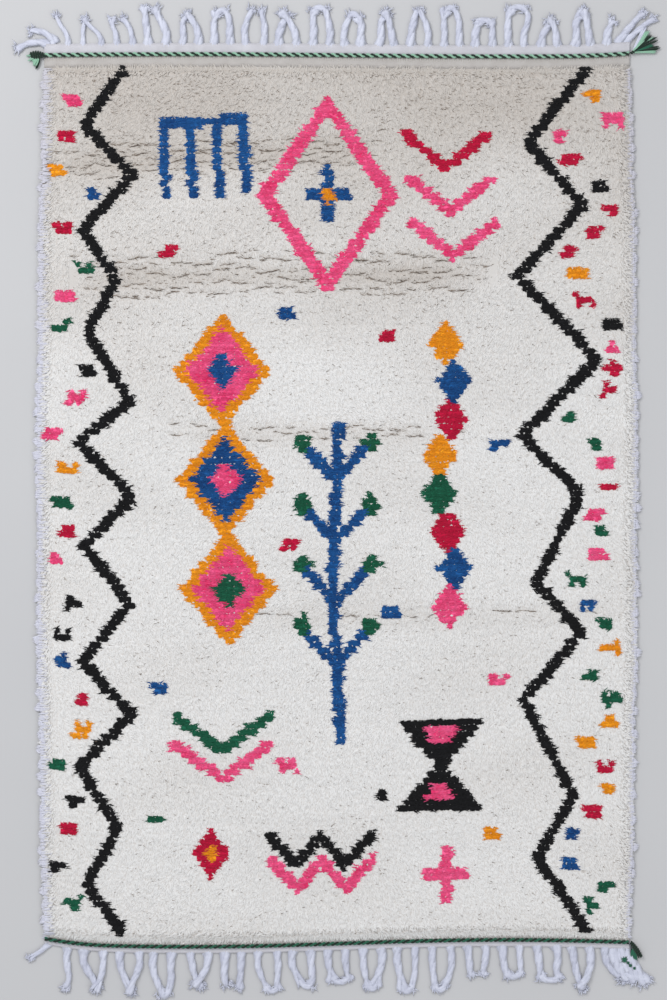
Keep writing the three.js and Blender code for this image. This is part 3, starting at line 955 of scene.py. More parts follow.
tip_x, tip_y = lock_x + lean[:, 0] * reach, lock_y + lean[:, 1] * reach
lift = np.where(dyed, DYED_LIFT, 0)
root_z = bed_top(lock_x, lock_y) + lift - ROOT_SINK
tip_z = bed_top(tip_x, tip_y) + lift + between(*TIP_LIFT, random.random(lock_count))
over_side = np.abs(tip_x) > half_width(tip_y) - ROLL_START
tip_z = np.where(over_side, ROLLED_HEIGHT * tip_z, tip_z) - PARTED_SINK * parted
roots = np.stack([lock_x, lock_y, root_z], axis=1)
tips = np.stack([tip_x, tip_y, tip_z], axis=1)
lock_spines = np.stack([roots, tips], axis=1)
plump = between(*PLUMPNESS, random.random((lock_count, 1))) * np.array([1.0, 0.0])
lock_wide = plump * LOCK_HALF_WIDTH
lock_thick = plump * LOCK_HALF_HEIGHT
lock_tone = TONE_PARTS["knot"] * knot_tone + TONE_PARTS["row"] * row_tone
lock_tone = lock_tone + TONE_PARTS["lock"] * random.random(lock_count)
# Locks beside a parting are drawn more beige, as painted shade.
lock_beige_and_shade = beige_and_crease_shade(lock_x, lock_y) + PARTED_SHADE_WARMTH * parted

# %% The plump core of a dyed knot
CORE_REACH = 0.0085
CORE_HALF_WIDTH = np.array([0.0085, 0.0112, 0.0])
CORE_HALF_HEIGHT = np.array([0.0011, 0.0016, 0.0])
CORE_LEVEL = 0.0006

core_knots = np.flatnonzero(knot_yarn.ravel() > 0)
core_yarn = knot_yarn.ravel()[core_knots]
core_x, core_y = knot_x.ravel()[core_knots], knot_y.ravel()[core_knots]
points_to = np.where(random.random(len(core_x)) < 0.5, 1, -1)
core_level = bed_top(core_x, core_y) + CORE_LEVEL
core_spines = np.stack([
    np.stack([core_x + points_to * CORE_REACH * step, core_y, core_level], axis=1) for step in (-0.8, 0, 1)
], axis=1)
core_tone = random.random(len(core_x))

# %% Yarn colours
# Its third colour is painted shade, which each lock turns to towards its root.
ivory_pile = ivory_finish("ivory_pile", color(234, 233, 232), color(204, 198, 192), color(186, 175, 164))


def dyed_finish(name, dark, light, drift=0.0):
    """Hand-dyed wool: each lock took the dye its own way, the hank's shade drifts along the rug, and painted
    shade darkens each lock towards its root.
    """
    finish = Finish(name)
    bands = finish.noise(scale=22, detail=1) * drift
    dye = finish.attribute("tone") * 0.8 + bands + finish.noise(scale=240) * 0.4 - (0.1 + drift / 2)
    shaded = finish.mix(dark, light, dye)
    # Painted shade: a lock's colour is darker towards its root.
    depth = finish.attribute("along") * 0.35 + 0.7
    return finish.surface({"Base Color": finish.scale(shaded, depth), "Sheen Weight": 0.06})


dyed_wools = dict(
    black=dyed_finish("black_pile", color(8, 8, 10), color(24, 24, 27)),
    pink=dyed_finish("pink_pile", color(226, 40, 100), color(255, 108, 160), drift=0.9),
    crimson=dyed_finish("crimson_pile", color(168, 4, 44), color(216, 22, 72)),
    blue=dyed_finish("blue_pile", color(6, 50, 106), color(30, 100, 168), drift=0.5),
    yellow=dyed_finish("yellow_pile", color(224, 128, 6), color(252, 170, 34)),
    green=dyed_finish("green_pile", color(4, 72, 48), color(30, 108, 80)),
)

# %% Pieces of pile
IVORY_PARTS = 5


def pile_batch(chosen):
    sizes = lock_wide[chosen], lock_thick[chosen]
    return tubes(lock_spines[chosen], *sizes, tone=lock_tone[chosen], warm=lock_beige_and_shade[chosen])


ivory_locks = np.flatnonzero(lock_yarn == YARNS.index("ivory"))
for part, chosen in enumerate(np.array_split(ivory_locks, IVORY_PARTS), 1):
    batches = [pile_batch(chosen)]
    make_piece(f"pile_ivory_{part}", batches, ivory_pile, "ivory_wool", "knotted_cloth", smooth=False)
for name, finish in dyed_wools.items():
    chosen = np.flatnonzero(lock_yarn == YARNS.index(name))
    cores = np.flatnonzero(core_yarn == YARNS.index(name))
    core = tubes(core_spines[cores], CORE_HALF_WIDTH, CORE_HALF_HEIGHT, tone=core_tone[cores])
    core["along"][:] = 1
    batches = [core, pile_batch(chosen)]
    make_piece(f"pile_{name}", batches, finish, f"{name}_wool", "knotted_cloth", smooth=False)

# %% [markdown]
# ## Painted shade in the parted pile
# Where folding has parted the pile, the shade in its narrow slits is painted as rows of thin broken dashes of
# brown wool. Single flecks of painted shade between the locks are strewn too, many near the head end, where
# the pile is beige, and a few elsewhere. Each is a short flat spike that lies more or less across the rug.
# One long tube for each parting would look like a drawn line.

# %% Dashes of painted shade in the partings, and single flecks
DASH_STEP = 0.0040
DASH_SHARE = 0.85  # of the places for a dash that get one
DASH_LENGTH = (0.006, 0.018)
DASH_SLOPE = 0.10  # how far a dash turns from its parting's own slope
DASH_HALF_WIDTH = (0.0005, 0.0015)
DASH_LIFT = 0.0022  # over the bed
SINGLE_SHADE_FLECKS = 22000
SINGLE_SHARE = (0.11, 0.72)  # of the single flecks of painted shade that are drawn: in cool wool, and more by this in beige wool
SINGLE_LENGTH = (0.004, 0.010)
SINGLE_SLOPE = 0.38


def dashes(x, y, length, slope):
    """Spines of short strokes from the west to the east, just over the bed and never over dyed knots."""
    far_x, far_y = x + length, y + length * slope
    near_end = np.stack([x, y, bed_top(x, y) + DASH_LIFT], axis=1)
    far_end = np.stack([far_x, far_y, bed_top(far_x, far_y) + DASH_LIFT], axis=1)
    on_ivory = (yarn_chart(x, y) == 0) & (yarn_chart(far_x, far_y) == 0)
    return np.stack([near_end, far_end], axis=1)[on_ivory]


strokes = []
for line, is_open in partings():
    x = np.arange(-WIDTH_MIDDLE / 2, WIDTH_MIDDLE / 2, DASH_STEP)
    x = x[is_open(x) & (random.random(len(x)) < DASH_SHARE)]
    length = between(*DASH_LENGTH, random.random(len(x)) ** 1.5)
    slope = (line(x + 0.01) - line(x)) / 0.01 + DASH_SLOPE * random.normal(0, 1, len(x))
    strokes.append(dashes(x, line(x) + 0.0014 * random.normal(0, 1, len(x)), length, slope))
parting_count = sum(len(batch) for batch in strokes)
x = WIDTH_ENDS * 0.97 * (random.random(SINGLE_SHADE_FLECKS) - 0.5)
foot_limit, head_limit = float(pile_edge(FOOT, 0)) + 0.01, float(pile_edge(HEAD, 0)) - 0.01
y = between(foot_limit, head_limit, random.random(SINGLE_SHADE_FLECKS))
seen = random.random(SINGLE_SHADE_FLECKS) < SINGLE_SHARE[0] + SINGLE_SHARE[1] * beige_and_crease_shade(x, y)
x, y = x[seen], y[seen]
length = between(*SINGLE_LENGTH, random.random(len(x)))
strokes.append(dashes(x, y, length, SINGLE_SLOPE * random.normal(0, 1, len(x))))
shade_dash_spines = np.concatenate(strokes)
shade_dash_tone = random.random(len(shade_dash_spines))
shade_dash_tone[parting_count:] = 0.35 + 0.65 * shade_dash_tone[parting_count:]
shade_dash_half = between(*DASH_HALF_WIDTH, random.random((len(shade_dash_spines), 1))) * np.array([1.0, 0.0])
shade_dash_half[parting_count:] *= 0.75
# The dashes' browns are painted shade: the dark of the parted pile's slits and of gaps between locks.
shade_dash_wool = dyed_finish("shade_dash_wool", color(70, 56, 46), color(168, 150, 134))
print(parting_count, "dashes in partings and", len(shade_dash_spines) - parting_count, "single roots")
make_piece(
    "parting_shade_dashes", [tubes(shade_dash_spines, shade_dash_half, shade_dash_half * 0.6, tone=shade_dash_tone)],
    shade_dash_wool, "ivory_wool", "knotted_cloth", smooth=False,
)

# %% [markdown]
# ## The two sides
# A shag rug has no bound edge: the outermost knots hang over the selvedge, and bundles of them stick out
# further. The bundles lie on the same curves as the solids' rim locks, each split into finer locks. Between
# them, short locks in two layers roll down towards the floor and hide the slab's side.

# %% Locks at the sides
RIM_LOCKS = 60
RIM_LOCK = dict(inside=0.011, shortest=0.007, longest=0.019, width=0.017, droop=0.012)
BUNDLE = 9
SELVEDGE_PITCH = 0.0034
SELVEDGE_LAYERS = [
    dict(inside=0.021, bend_share=1.06, tip=0.0060),
    dict(inside=0.009, bend_share=0.75, tip=0.0035),
]
RIGHT_SIDE_SHARE = 0.65  # the right side's border is narrower
ROOT_DEPTH = 0.0012  # under the bed's top
RIM_HALF_WIDTH = np.array([0.0014, 0.0024, 0])  # of a lock at its root, bend and tip
RIM_HALF_HEIGHT = np.array([0.0009, 0.0015, 0])


def rim_bundle(side, index):
    """The finer locks of one bundle: a fan of bent spines about the bundle's own curve."""
    first = cord_line(FOOT, 0) + FOOT["band"] + 2 * PILE_RAMP
    last = cord_line(HEAD, 0) - HEAD["band"] - 2 * PILE_RAMP
    seed = index + (500 if side > 0 else 100)
    y = between(first, last, (index + 0.5 + 0.5 * (chance(seed, 1) - 0.5)) / RIM_LOCKS)
    reach = between(RIM_LOCK["shortest"], RIM_LOCK["longest"], chance(seed, 2) ** 1.5)
    droop = RIM_LOCK["droop"] * (chance(seed, 3) - 0.3)
    edge = half_width(y)
    fan = np.linspace(-0.5, 0.5, BUNDLE)
    order = np.arange(BUNDLE)
    length = reach * between(0.65, 1.1, chance(seed * 10 + order, 8))
    spread = RIM_LOCK["width"] * fan
    level = between(0.006, 0.0085, chance(seed * 10 + order, 9))
    x = np.stack([0 * fan - RIM_LOCK["inside"], length * 0.35, length], axis=1)
    ys = np.stack([y + spread * 0.9, y + spread * 1.1, y - droop + spread * 0.7], axis=1)
    z = np.stack([level, level * 1.1, level * 0.35], axis=1)
    return np.stack([side * (edge + x), ys, z], axis=2)


def selvedge(side, layer):
    """Short locks that roll over the side, in waves where bunches of them hang together."""
    count = round(WEAVE_LENGTH / SELVEDGE_PITCH)
    y = np.linspace(float(pile_edge(FOOT, 0)) + 0.003, float(pile_edge(HEAD, 0)) - 0.003, count)
    y = y + 0.004 * (random.random(count) - 0.5)
    edge = half_width(y)
    wave = 0.5 + 0.5 * np.sin(y / 0.0068 + 2.5 * np.sin(y / 0.047))
    length = between(0.001, 0.0060, random.random(count) ** 1.5) + 0.0035 * wave
    stray = 0.004 * random.normal(0, 1, count)
    inside = layer["inside"] * between(0.25, 1.35, random.random(count))
    inside = inside * (RIGHT_SIDE_SHARE if side > 0 else 1)
    x = np.stack([edge - inside, edge - 0.002, edge + length], axis=1)
    ys = np.stack([y, y + stray * 0.4, y + stray], axis=1)
    root = bed_top(x[:, 0], y) - ROOT_DEPTH
    bend = bed_top(x[:, 1], y) * layer["bend_share"]
    tip = layer["tip"] * between(0.8, 1.2, random.random(count))
    return np.stack([side * x, ys, np.stack([root, bend, tip], axis=1)], axis=2)


bundles = np.concatenate([rim_bundle(side, index) for side in (-1, 1) for index in range(RIM_LOCKS)])
skirts = np.concatenate([selvedge(side, layer) for side in (-1, 1) for layer in SELVEDGE_LAYERS])
rim_spines = np.concatenate([bundles, skirts])
rim_beige_and_shade = 0.8 * beige_and_crease_shade(rim_spines[:, 0, 0], rim_spines[:, 0, 1]) + 0.3 * random.random(len(rim_spines))
# Its third colour is painted shade, which each lock turns to towards its root.
rim_wool = ivory_finish("rim_wool", color(219, 220, 232), color(210, 208, 216), color(198, 198, 208))
rim_tone = random.random(len(rim_spines))
rim_batch = tubes(rim_spines, RIM_HALF_WIDTH, RIM_HALF_HEIGHT, tone=rim_tone, warm=rim_beige_and_shade)
make_piece("rim_locks", [rim_batch], rim_wool, "fringe_wool", "knotted_cloth", smooth=False)

# %% [markdown]
# ## Web and fringe
# Past the cord the weave runs on as a narrow web, and then its warps are left free in bunches, which twist
# into soft ropes. Some pairs of them cross, and some still end in the warp's uncut loop. A rope is made of
# three plies wound round one path, which catches light like the real one, with hairs along it and a frayed
# tip. One smooth tube with a bump would look like a worm.

# %% The webs
fringe_white = color(222, 225, 240)
fringe_shade = color(172, 175, 196)
web_wool = woven_finish("web_wool", color(216, 215, 222), color(184, 182, 188))
for name, end in ENDS.items():
    lines = [lambda x: cord_line(end, x) + end["side"] * GAP, lambda x: fringe_line(end, x)]
    woven_strip(f"woven_web_{name}", lines, web_wool, "fringe_wool", f"fringed_web_{name}")

# %% The paths of the fringe
STRAND = dict(width=0.019, tip=0.012, height=0.009, inside=0.013, bow=0.005)
PAIR_CLEARANCE = 0.003
ROPE_STEPS = 20
CORNER_STRANDS = [
    dict(end=HEAD, width=0.018, root=(-0.752, 1.183), bend=(-0.790, 1.200), tip=(-0.842, 1.172)),
    dict(end=HEAD, width=0.017, root=(-0.737, 1.187), bend=(-0.758, 1.224), tip=(-0.806, 1.220)),
    dict(end=HEAD, width=0.017, root=(0.734, 1.186), bend=(0.764, 1.232), tip=(0.804, 1.270)),
    dict(end=HEAD, width=0.015, root=(0.752, 1.188), bend=(0.794, 1.230), tip=(0.832, 1.254)),
    dict(end=FOOT, width=0.012, root=(-0.748, -1.164), bend=(-0.772, -1.188), tip=(-0.806, -1.208)),
    dict(end=FOOT, width=0.030, root=(0.714, -1.176), bend=(0.732, -1.226), tip=(0.762, -1.268)),
    dict(end=FOOT, width=0.032, root=(0.730, -1.176), bend=(0.754, -1.224), tip=(0.788, -1.266)),
    dict(end=FOOT, width=0.030, root=(0.744, -1.178), bend=(0.774, -1.222), tip=(0.811, -1.276)),
]
FIRST_CORNER = 50  # the corner strands are numbered from here


def curve(points, steps=ROPE_STEPS):
    """A smooth curve that three or four points pull on, sampled evenly."""
    share = np.linspace(0, 1, steps)[:, None]
    order = len(points) - 1
    weights = [math.comb(order, i) * share**i * (1 - share) ** (order - i) for i in range(order + 1)]
    return sum(weight * np.array(point) for weight, point in zip(weights, points))


def drift_at(end, x):
    """How far the tips stray sideways at a place across the rug."""
    across = x / (WIDTH_MIDDLE / 2)
    left, middle, right = end["drift"]
    return between(middle, left if across < 0 else right, across**2)


def fringe_path(end, index):
    """The path and the width of one strand: its solid's, with a root that starts deeper in the web."""
    usable = WIDTH_ENDS - STRAND["width"] - 0.008
    pitch = usable / (end["strands"] - 1)
    seed = index + end["seed"]
    pair = index // 2 + end["pair_seed"]
    x = -usable / 2 + index * pitch
    inwards = -1 if index % 2 else 1
    length = between(end["shortest"], end["longest"], chance(pair, 1))
    length = length * between(0.93, 1.05, chance(seed, 2))
    closing = (pitch - STRAND["tip"] - PAIR_CLEARANCE) / 2
    drift = drift_at(end, x) + 0.005 * (chance(pair, 3) - 0.5)
    lean = inwards * closing * between(0.45, 1, chance(pair, 4)) + drift
    bow = inwards * STRAND["bow"] * chance(seed, 5)
    start = float(fringe_line(end, x))
    out = lambda share: start + end["side"] * length * share
    path = curve([
        (x, start - end["side"] * STRAND["inside"]),
        (x - bow, out(0.35)),
        (x - bow / 2 + drift / 2, out(0.7)),
        (x + lean, out(1)),
    ])
    return path, STRAND["width"] * between(0.85, 1.1, chance(seed, 6))


# %% How the strands fell
CROSSED = 0.72  # pairs whose number from chance is over this cross
UNCUT = 0.20  # of the others, pairs over this keep their loop
WAVER = 0.006
STRAY = 0.011
CROSSING = 0.017
THIN_STRANDS = 6  # by the left corner of the head end, where the fringe is worn thin
THINNER = 0.68


def crosses(end, index):
    return chance(index // 2 + end["pair_seed"], 27) > CROSSED


def fallen(end, index):
    """A strand's path with its waver and stray, its width, and how far its tip rides on its neighbour."""
    path, width = fringe_path(end, index)
    seed = index + end["seed"]
    share = np.linspace(0, 1, len(path))
    turns = between(1.2, 2.2, chance(seed, 25))
    sideways = WAVER * (2 * chance(seed, 24) - 1) * np.sin(math.pi * share * turns)
    sideways += STRAY * (2 * chance(seed, 26) - 1) * share**2
    if crosses(end, index):
        sideways += CROSSING * (-1 if index % 2 else 1) * share**1.5
    path[:, 0] += sideways
    if end is HEAD and index < THIN_STRANDS:
        width *= THINNER
    return path, width, STRAND["height"] * 0.8 * (crosses(end, index) and index % 2)


# %% Ropes of three plies
PLIES = 3
PLY_TURN = 0.090  # length over which a rope's plies go once round
FLUFF = 1.14  # wool fluffs out past its solid's width
ROOT_FLARE = 1.55
ROOT_LEVEL = 0.0019
SUNK_LENGTH = 0.005  # of a rope's root, under the web's surface
GROWING_LENGTH = 0.024
TIP_TAPER = STRAND["tip"] / STRAND["width"]
RIPPLE = dict(swing=0.07, length=0.0085)  # of a rope's width, along it
CLUMP = dict(most=0.75, rarity=0.35, at=0.93, length=0.09)  # rarity is the share of ropes without one
FORK = dict(most=0.50, rarity=0.7, start=0.62, bend=1.4)  # where the plies part towards the tip
PLY = dict(off=0.17, rise=0.12, half_width=0.34, half_height=0.33)  # shares of a rope's width and height
ROPE_SIDES = 5


def rope(path, width, seed, ride=0.0, height=STRAND["height"], taper=TIP_TAPER, rooted=True):
    """The spines and half sizes of a rope's plies along a flat path. It swells out of the web's edge."""
    share = np.linspace(0, 1, len(path))
    forward = np.gradient(path, axis=0)
    forward /= np.linalg.norm(forward, axis=1, keepdims=True)
    walked = np.concatenate([[0], np.cumsum(np.linalg.norm(np.diff(path, axis=0), axis=1))])
    grown = np.clip((walked - SUNK_LENGTH) / GROWING_LENGTH, 0, 1) if rooted else np.ones(len(path))
    grown = grown**2 * (3 - 2 * grown)
    ripple = 1 + RIPPLE["swing"] * np.sin(walked / RIPPLE["length"] + 6 * chance(seed, 21))
    body = FLUFF * between(1, taper, share**2) * ripple
    clumps = rooted and chance(seed, 29) > CLUMP["rarity"]
    clump = CLUMP["most"] * clumps * np.exp(-(((share - CLUMP["at"]) / CLUMP["length"]) ** 2))
    lopsided = 0.4 * clump * (2 * chance(seed, 30) - 1)
    forks = rooted and chance(seed, 28) > FORK["rarity"]
    opening = np.clip((share - FORK["start"]) / (1 - FORK["start"]), 0, 1) ** FORK["bend"]
    forked = FORK["most"] * forks * opening
    spread = body * between(ROOT_FLARE, 1, grown) * (1 + clump)
    spines, wides, thicks = [], [], []
    for ply in range(PLIES):
        angle = 2 * math.pi * (walked / PLY_TURN + ply / PLIES + chance(seed, 11))
        off = width * (PLY["off"] * spread * np.cos(angle) + forked * (ply - 1) + lopsided)
        level = between(ROOT_LEVEL, height / 2, grown) + height * PLY["rise"] * body * grown * np.sin(angle)
        place = path + np.stack([-forward[:, 1], forward[:, 0]], axis=1) * off[:, None]
        spines.append(np.column_stack([place, level + ride * share**2]))
        wides.append(width * PLY["half_width"] * spread)
        thicks.append(height * PLY["half_height"] * body * between(0.42, 1, grown) * (1 + 0.2 * clump))
    return spines, wides, thicks


def rope_batch(ropes):
    """Many ropes of equal steps as one batch."""
    spines, wides, thicks = (np.array([ply for made in ropes for ply in made[i]]) for i in range(3))
    return tubes(spines, wides, thicks, sides=ROPE_SIDES, tone=random.random(len(spines)))


# %% Frayed tips and loose hairs
FRAY_REACH = (0.003, 0.019)
FRAY_RARITY = 2.2  # the higher, the fewer wisps are long
FRAY_BEND = 2.2
FRAY_SPREAD = 1.5
FRAY_WIDTH = 1.35  # of the frayed tip, as a share of its rope's width
FRAY_DEPTH = (-0.001, 0.016)  # how far back from the tip wisps stand off


def frayed(path, width, count, seed):
    """Short wisps that stand off a rope's blunt tip, outwards on its flanks."""
    end, before = path[-1], path[-3]
    heading = math.atan2(end[1] - before[1], end[0] - before[0])
    ahead = np.array([math.cos(heading), math.sin(heading)])
    beside = np.array([-ahead[1], ahead[0]])
    number = seed * 40 + np.arange(count)
    aside = 2 * chance(number, 14) - 1
    turn = heading + FRAY_SPREAD * (0.6 * aside + 0.9 * (chance(number, 12) - 0.5))
    length = between(*FRAY_REACH, chance(number, 13) ** FRAY_RARITY)
    back = between(*FRAY_DEPTH, chance(number, 22)) * np.abs(aside)
    root = end + (width * FRAY_WIDTH / 2 * aside)[:, None] * beside - back[:, None] * ahead
    bend = turn + FRAY_BEND * (chance(number, 15) - 0.5)
    step = np.linspace(0, 1, 3)[None, :, None]
    straight = np.stack([np.cos(turn), np.sin(turn)], axis=1)[:, None] * step
    bent = np.stack([np.cos(bend), np.sin(bend)], axis=1)[:, None] * step**2
    flat_path = root[:, None] + length[:, None, None] * (0.6 * straight + 0.4 * bent)
    level = between(0.0045, 0.0020, step[..., 0]) + 0.0030 * chance(number, 23)[:, None]
    return np.concatenate([flat_path, level[..., None]], axis=2)


def hairs(path, width, count, seed):
    """Loose fibres that stand off a rope's flanks."""
    order = np.arange(count)
    at = (2 + chance(seed * 30 + order, 16) * (len(path) - 5)).astype(int)
    forward = path[at + 1] - path[at]
    heading = np.arctan2(forward[:, 1], forward[:, 0])
    side = np.where(order % 2, 1, -1)
    turn = heading + side * between(0.25, 0.8, chance(seed * 30 + order, 17))
    length = between(0.008, 0.018, chance(seed * 30 + order, 18))
    step = np.linspace(0, 1, 4)[None, :, None]
    root = path[at] + 0.3 * width * side[:, None] * np.stack([-np.sin(heading), np.cos(heading)], axis=1)
    away = np.stack([np.cos(turn), np.sin(turn)], axis=1)[:, None] * step
    ahead = np.stack([np.cos(heading), np.sin(heading)], axis=1)[:, None] * step**2
    flat_path = root[:, None] + length[:, None, None] * (0.6 * away + 0.35 * ahead)
    level = between(0.005, 0.002, step[..., 0]) * np.ones((count, 1))
    return np.concatenate([flat_path, level[..., None]], axis=2)


# %% The fringe
FRAY = 32
HAIRS = 8
LOOP_STEPS = 10
WISP = np.array([0.0024, 0.0018, 0.0])
WISP_FLATNESS = 0.5
HAIR = np.array([0.0009, 0.0008, 0.0006, 0.0])


def uncut_loop(first, second, side):
    """The arc that joins the tips of two strands whose loop was never cut."""
    out = np.array([0, side * 0.007])
    return curve([first[-4], first[-1] + out, second[-1] + out, second[-4]], LOOP_STEPS)


def fringe_finish(name, dark, light):
    """Soft undyed warp: fine lengthways fibres, and a little grey where it is handled."""
    finish = Finish(name)
    dye = finish.attribute("tone") * 0.35 + finish.noise(scale=90, detail=4) * 0.9
    relief = finish.bump(finish.noise(scale=520, detail=3), strength=0.45, distance=0.0012)
    tone = finish.mix(dark, light, dye)
    return finish.surface({"Base Color": tone, "Normal": relief, "Sheen Weight": 0.4})


def dress_end(end):
    """All the ropes, loops, wisps and hairs of one end's fringe."""
    strands = {index: fallen(end, index) for index in range(1, end["strands"] - 1)}
    corners = [row for row in CORNER_STRANDS if row["end"] is end]
    for number, row in enumerate(corners, FIRST_CORNER):
        strands[number] = curve([row["root"], row["bend"], row["tip"]]), row["width"], 0.0
    ropes, wisps, loose, loops = [], [], [], []
    for index, (path, width, ride) in strands.items():
        seed = end["seed"] + index
        ropes.append(rope(path, width, seed, ride=ride))
        wisps.append(frayed(path, width, FRAY, seed))
        loose.append(hairs(path, width, HAIRS, seed))
        starts_pair = index % 2 == 0 and index + 1 in strands and index < FIRST_CORNER
        if starts_pair and not crosses(end, index) and chance(index + end["pair_seed"], 19) > UNCUT:
            arc = uncut_loop(path, strands[index + 1][0], end["side"])
            loops.append(rope(arc, width * 0.8, index, height=0.008, taper=1, rooted=False))
    wisps, loose = np.concatenate(wisps), np.concatenate(loose)
    print(len(ropes), "strands and", len(loops), "uncut loops")
    return [
        rope_batch(ropes),
        rope_batch(loops),
        tubes(wisps, WISP, WISP * WISP_FLATNESS, tone=0.4 + 0.6 * random.random(len(wisps))),
        tubes(loose, HAIR, HAIR, tone=random.random(len(loose))),
    ]


fringe_wool = fringe_finish("fringe_wool", fringe_shade, fringe_white)
for name, end in ENDS.items():
    make_piece(f"fringe_{name}", dress_end(end), fringe_wool, "fringe_wool", f"fringed_web_{name}")

# %% [markdown]
# ## Twined cords
# Two yarns, one dark and one light, are twined round each other through the warps, so that they show in turn
# as slanting dashes. Each ply is a helix pressed flat against the weave, and the two are half a turn apart.

# %% Cord plies
CORD_TURN = 0.0235
CORD_SWING = (0.0030, 0.0017)  # how far a ply swings sideways and up
CORD_PLY = (0.0029, 0.0026)  # half its width and half its height
CORD_STEPS = 640
CORD_LEVEL = WEB_THICKNESS + GAP + 0.0040


def cord_ply(end, phase, handed):
    """One ply's spine, from the left corner to the right."""
    reach = float(half_width(end["side"] * HALF_LENGTH)) - 0.001
    x = np.linspace(-reach, reach, CORD_STEPS)
    turn = handed * 2 * math.pi * (x / CORD_TURN + 0.12 * np.sin(x / 0.09)) + phase
    y = cord_line(end, x) + CORD_SWING[0] * np.cos(turn)
    z = CORD_LEVEL + CORD_SWING[1] * np.sin(turn)
    return np.stack([x, y, z], axis=1)[None]


def cord_finish(name, dark, light):
    """Smooth-spun yarn with slanting fibres."""
    finish = Finish(name)
    fibres = finish.noise(scale=420, detail=3)
    relief = finish.bump(fibres, strength=0.6, distance=0.0008)
    tone = finish.mix(dark, light, fibres * 0.8 + finish.noise(scale=40) * 0.4 - 0.1)
    return finish.surface({"Base Color": tone, "Normal": relief})


pine_wool = cord_finish("pine_wool", color(2, 22, 12), color(16, 50, 34))
mint_wool = cord_finish("mint_wool", color(118, 168, 140), color(166, 208, 184))
leaf_wool = cord_finish("leaf_wool", color(8, 70, 50), color(44, 118, 90))
for name, end, handed, plies in (
    ("head", HEAD, 1, dict(dark=pine_wool, light=mint_wool)),
    ("foot", FOOT, -1, dict(dark=pine_wool, light=leaf_wool)),
):
    for phase, (shade, finish) in zip((0, math.pi), plies.items()):
        ply = tubes(cord_ply(end, phase, handed), CORD_PLY[0], CORD_PLY[1], sides=6)
        make_piece(f"cord_{name}_{shade}_ply", [ply], finish, "green_wool", f"twined_cord_{name}")

# %% [markdown]
# ## Corner tassels
# At three corners the cord's tail is knotted and left to fray. The knot is one yarn wrapped round the tail,
# and the tail's yarns fan out of it in strands of one colour each: dark, green, mint or white.

# %% Tassels
TASSELS = [
    dict(name="tassel_head_left", end=HEAD, corner=-1, heading=178, tail=206, fan=66, strands=9,
         length=0.046, knot=0.036, plump=0.25, yarn=0.0030),
    dict(name="tassel_head_right", end=HEAD, corner=1, heading=28, tail=32, fan=58, strands=8,
         length=0.084, knot=0.018, plump=0.15, yarn=0.0036),
    dict(name="tassel_foot_right", end=FOOT, corner=1, heading=-55, tail=-76, fan=24, strands=6,
         length=0.054, knot=0.046, plump=0.12, yarn=0.0032),
]
TASSEL_YARNS = dict(
    tassel_head_left=["mint", "mint", "mint", "mint", "mint", "mint", "mint", "mint", "pine"],
    tassel_head_right=["mint", "pine", "leaf", "pine", "mint", "pine", "mint", "white"],
    tassel_foot_right=["leaf", "leaf", "leaf", "leaf", "leaf", "pine"],
)
KNOT_START = 0.007
YARNS_TO_STRAND = 4
YARN_STEPS = 9
YARN_HALF_HEIGHT = 0.0024
WRAPS_TO_LENGTH = 1 / 0.0062  # wraps of a knot for each metre of it
KNOT_STEPS = 96
KNOT_FLATNESS = 0.55
KNOT_LEVEL = 0.0086
KNOT_YARN_HALF = (0.0030, 0.0026)  # half the width and half the height of the yarn that is wrapped
LEAST_KNOT_RADIUS = 0.0015
SPOTS = [  # frayed ends of green yarn, caught in the white bunch
    dict(x=0.7515, y=-1.210, reach=0.0125),
    dict(x=0.7610, y=-1.218, reach=0.0052),
    dict(x=0.7670, y=-1.225, reach=0.0060),
    dict(x=0.7775, y=-1.232, reach=0.0052),
]
SPOT_YARNS = 11
SPOT_YARN_HALF = (0.0034, 0.0020)  # half the width at the middle of a spot, and half the height
SPOT_LEVEL = (0.0108, 0.0088)


def pointing(degrees, reach, start):
    angle = math.radians(degrees)
    return np.array([math.cos(angle), math.sin(angle)]) * reach + start


def tassel_start(row):
    edge = float(half_width(row["end"]["side"] * HALF_LENGTH))
    clear = edge + GAP + KNOT_START / 2 * abs(math.sin(math.radians(row["heading"])))
    return np.array([row["corner"] * clear, float(cord_line(row["end"], row["corner"] * edge))])


def tassel_yarns(row, order):
    """The spines of a tassel's loose yarns, each with the number of its strand."""
    start = tassel_start(row)
    yarn_turn = row["fan"] / row["strands"] / YARNS_TO_STRAND
    for index in range(row["strands"]):
        degrees = row["tail"] + row["fan"] * (index / (row["strands"] - 1) - 0.5)
        reach = row["length"] * between(0.8, 1.04, chance(order * 50 + index, 7))
        for yarn in range(YARNS_TO_STRAND):
            seed = order * 1000 + index * 10 + yarn
            turn = degrees + yarn_turn * (yarn - (YARNS_TO_STRAND - 1) / 2) + 6 * (chance(seed, 1) - 0.5)
            length = reach * between(0.85, 1.05, chance(seed, 2))
            path = curve([
                pointing(row["heading"], row["knot"] * 0.35, start),
                pointing(turn + 14 * (chance(order * 50 + index, 8) - 0.5), length * 0.6, start),
                pointing(turn, length, start),
            ], YARN_STEPS)
            level = between(0.0065, 0.0030, np.linspace(0, 1, YARN_STEPS)) + 0.003 * chance(seed, 4)
            yield index, np.column_stack([path, level])


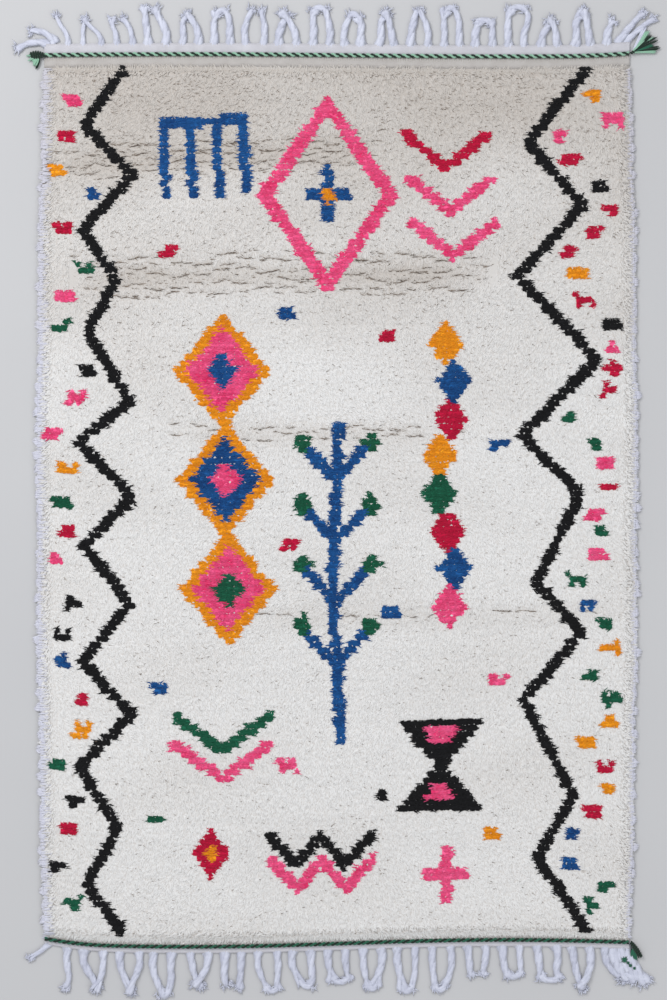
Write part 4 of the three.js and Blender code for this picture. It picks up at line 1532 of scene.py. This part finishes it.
def wrapped_knot(row):
    """A yarn wrapped round the tail: a helix whose radius swells and narrows."""
    start = tassel_start(row)
    angle = math.radians(row["heading"])
    axis = np.array([math.cos(angle), math.sin(angle), 0.0])
    side = np.array([-axis[1], axis[0], 0.0])
    share = np.linspace(0, 1, KNOT_STEPS)
    swell = np.sin(math.pi * between(0.12, 0.86, share))
    radius = between(LEAST_KNOT_RADIUS, row["knot"] * row["plump"], swell)
    turn = 2 * math.pi * WRAPS_TO_LENGTH * row["knot"] * share
    middle = np.array([*start, KNOT_LEVEL]) + axis * (row["knot"] * share)[:, None]
    up = np.array([0, 0, KNOT_FLATNESS])
    wound = middle + side * (radius * np.cos(turn))[:, None] + up * (radius * np.sin(turn))[:, None]
    return wound[None], axis


def spot_yarns(spot):
    """Short yarn ends that stand out all round a spot."""
    for yarn in range(SPOT_YARNS):
        angle = 2 * math.pi * (yarn + 0.6 * chance(yarn, 33)) / SPOT_YARNS
        reach = spot["reach"] * between(0.7, 1.1, chance(yarn, 34))
        tip = (spot["x"] + reach * math.cos(angle), spot["y"] + reach * math.sin(angle), SPOT_LEVEL[1])
        yield (spot["x"], spot["y"], SPOT_LEVEL[0]), tip


tail_wools = dict(mint=mint_wool, pine=pine_wool, leaf=leaf_wool, white=fringe_wool)
for order, row in enumerate(TASSELS):
    colours = TASSEL_YARNS[row["name"]]
    yarns = list(tassel_yarns(row, order))
    for shade in dict.fromkeys(colours):
        spines = np.array([spine for strand, spine in yarns if colours[strand] == shade])
        batches = [tubes(spines, row["yarn"] * np.linspace(1, 0.6, YARN_STEPS), YARN_HALF_HEIGHT, sides=5)]
        if shade == "pine":
            knot_spine, axis = wrapped_knot(row)
            batches.append(tubes(knot_spine, *KNOT_YARN_HALF, sides=6, across=axis))
        if shade == "leaf" and row["end"] is FOOT:
            spots = [spine for spot in SPOTS for spine in spot_yarns(spot)]
            batches.append(tubes(spots, np.array([SPOT_YARN_HALF[0], 0]), SPOT_YARN_HALF[1], sides=5))
        slot = "fringe_wool" if shade == "white" else "green_wool"
        make_piece(f"{row['name']}_{shade}", batches, tail_wools[shade], slot, row["name"])

# %% [markdown]
# ## Counting the triangles
# The ground is the one woven sheet, whose flat size is what came off the loom between the two cords, and
# all the rest is tied or twined to it. Here the triangles of all the pieces made are counted.

# %% The count of triangles
triangles = sum(len(piece.data.polygons) for piece in made_pieces)
print(len(made_pieces), "pieces with", triangles, "triangles in all")
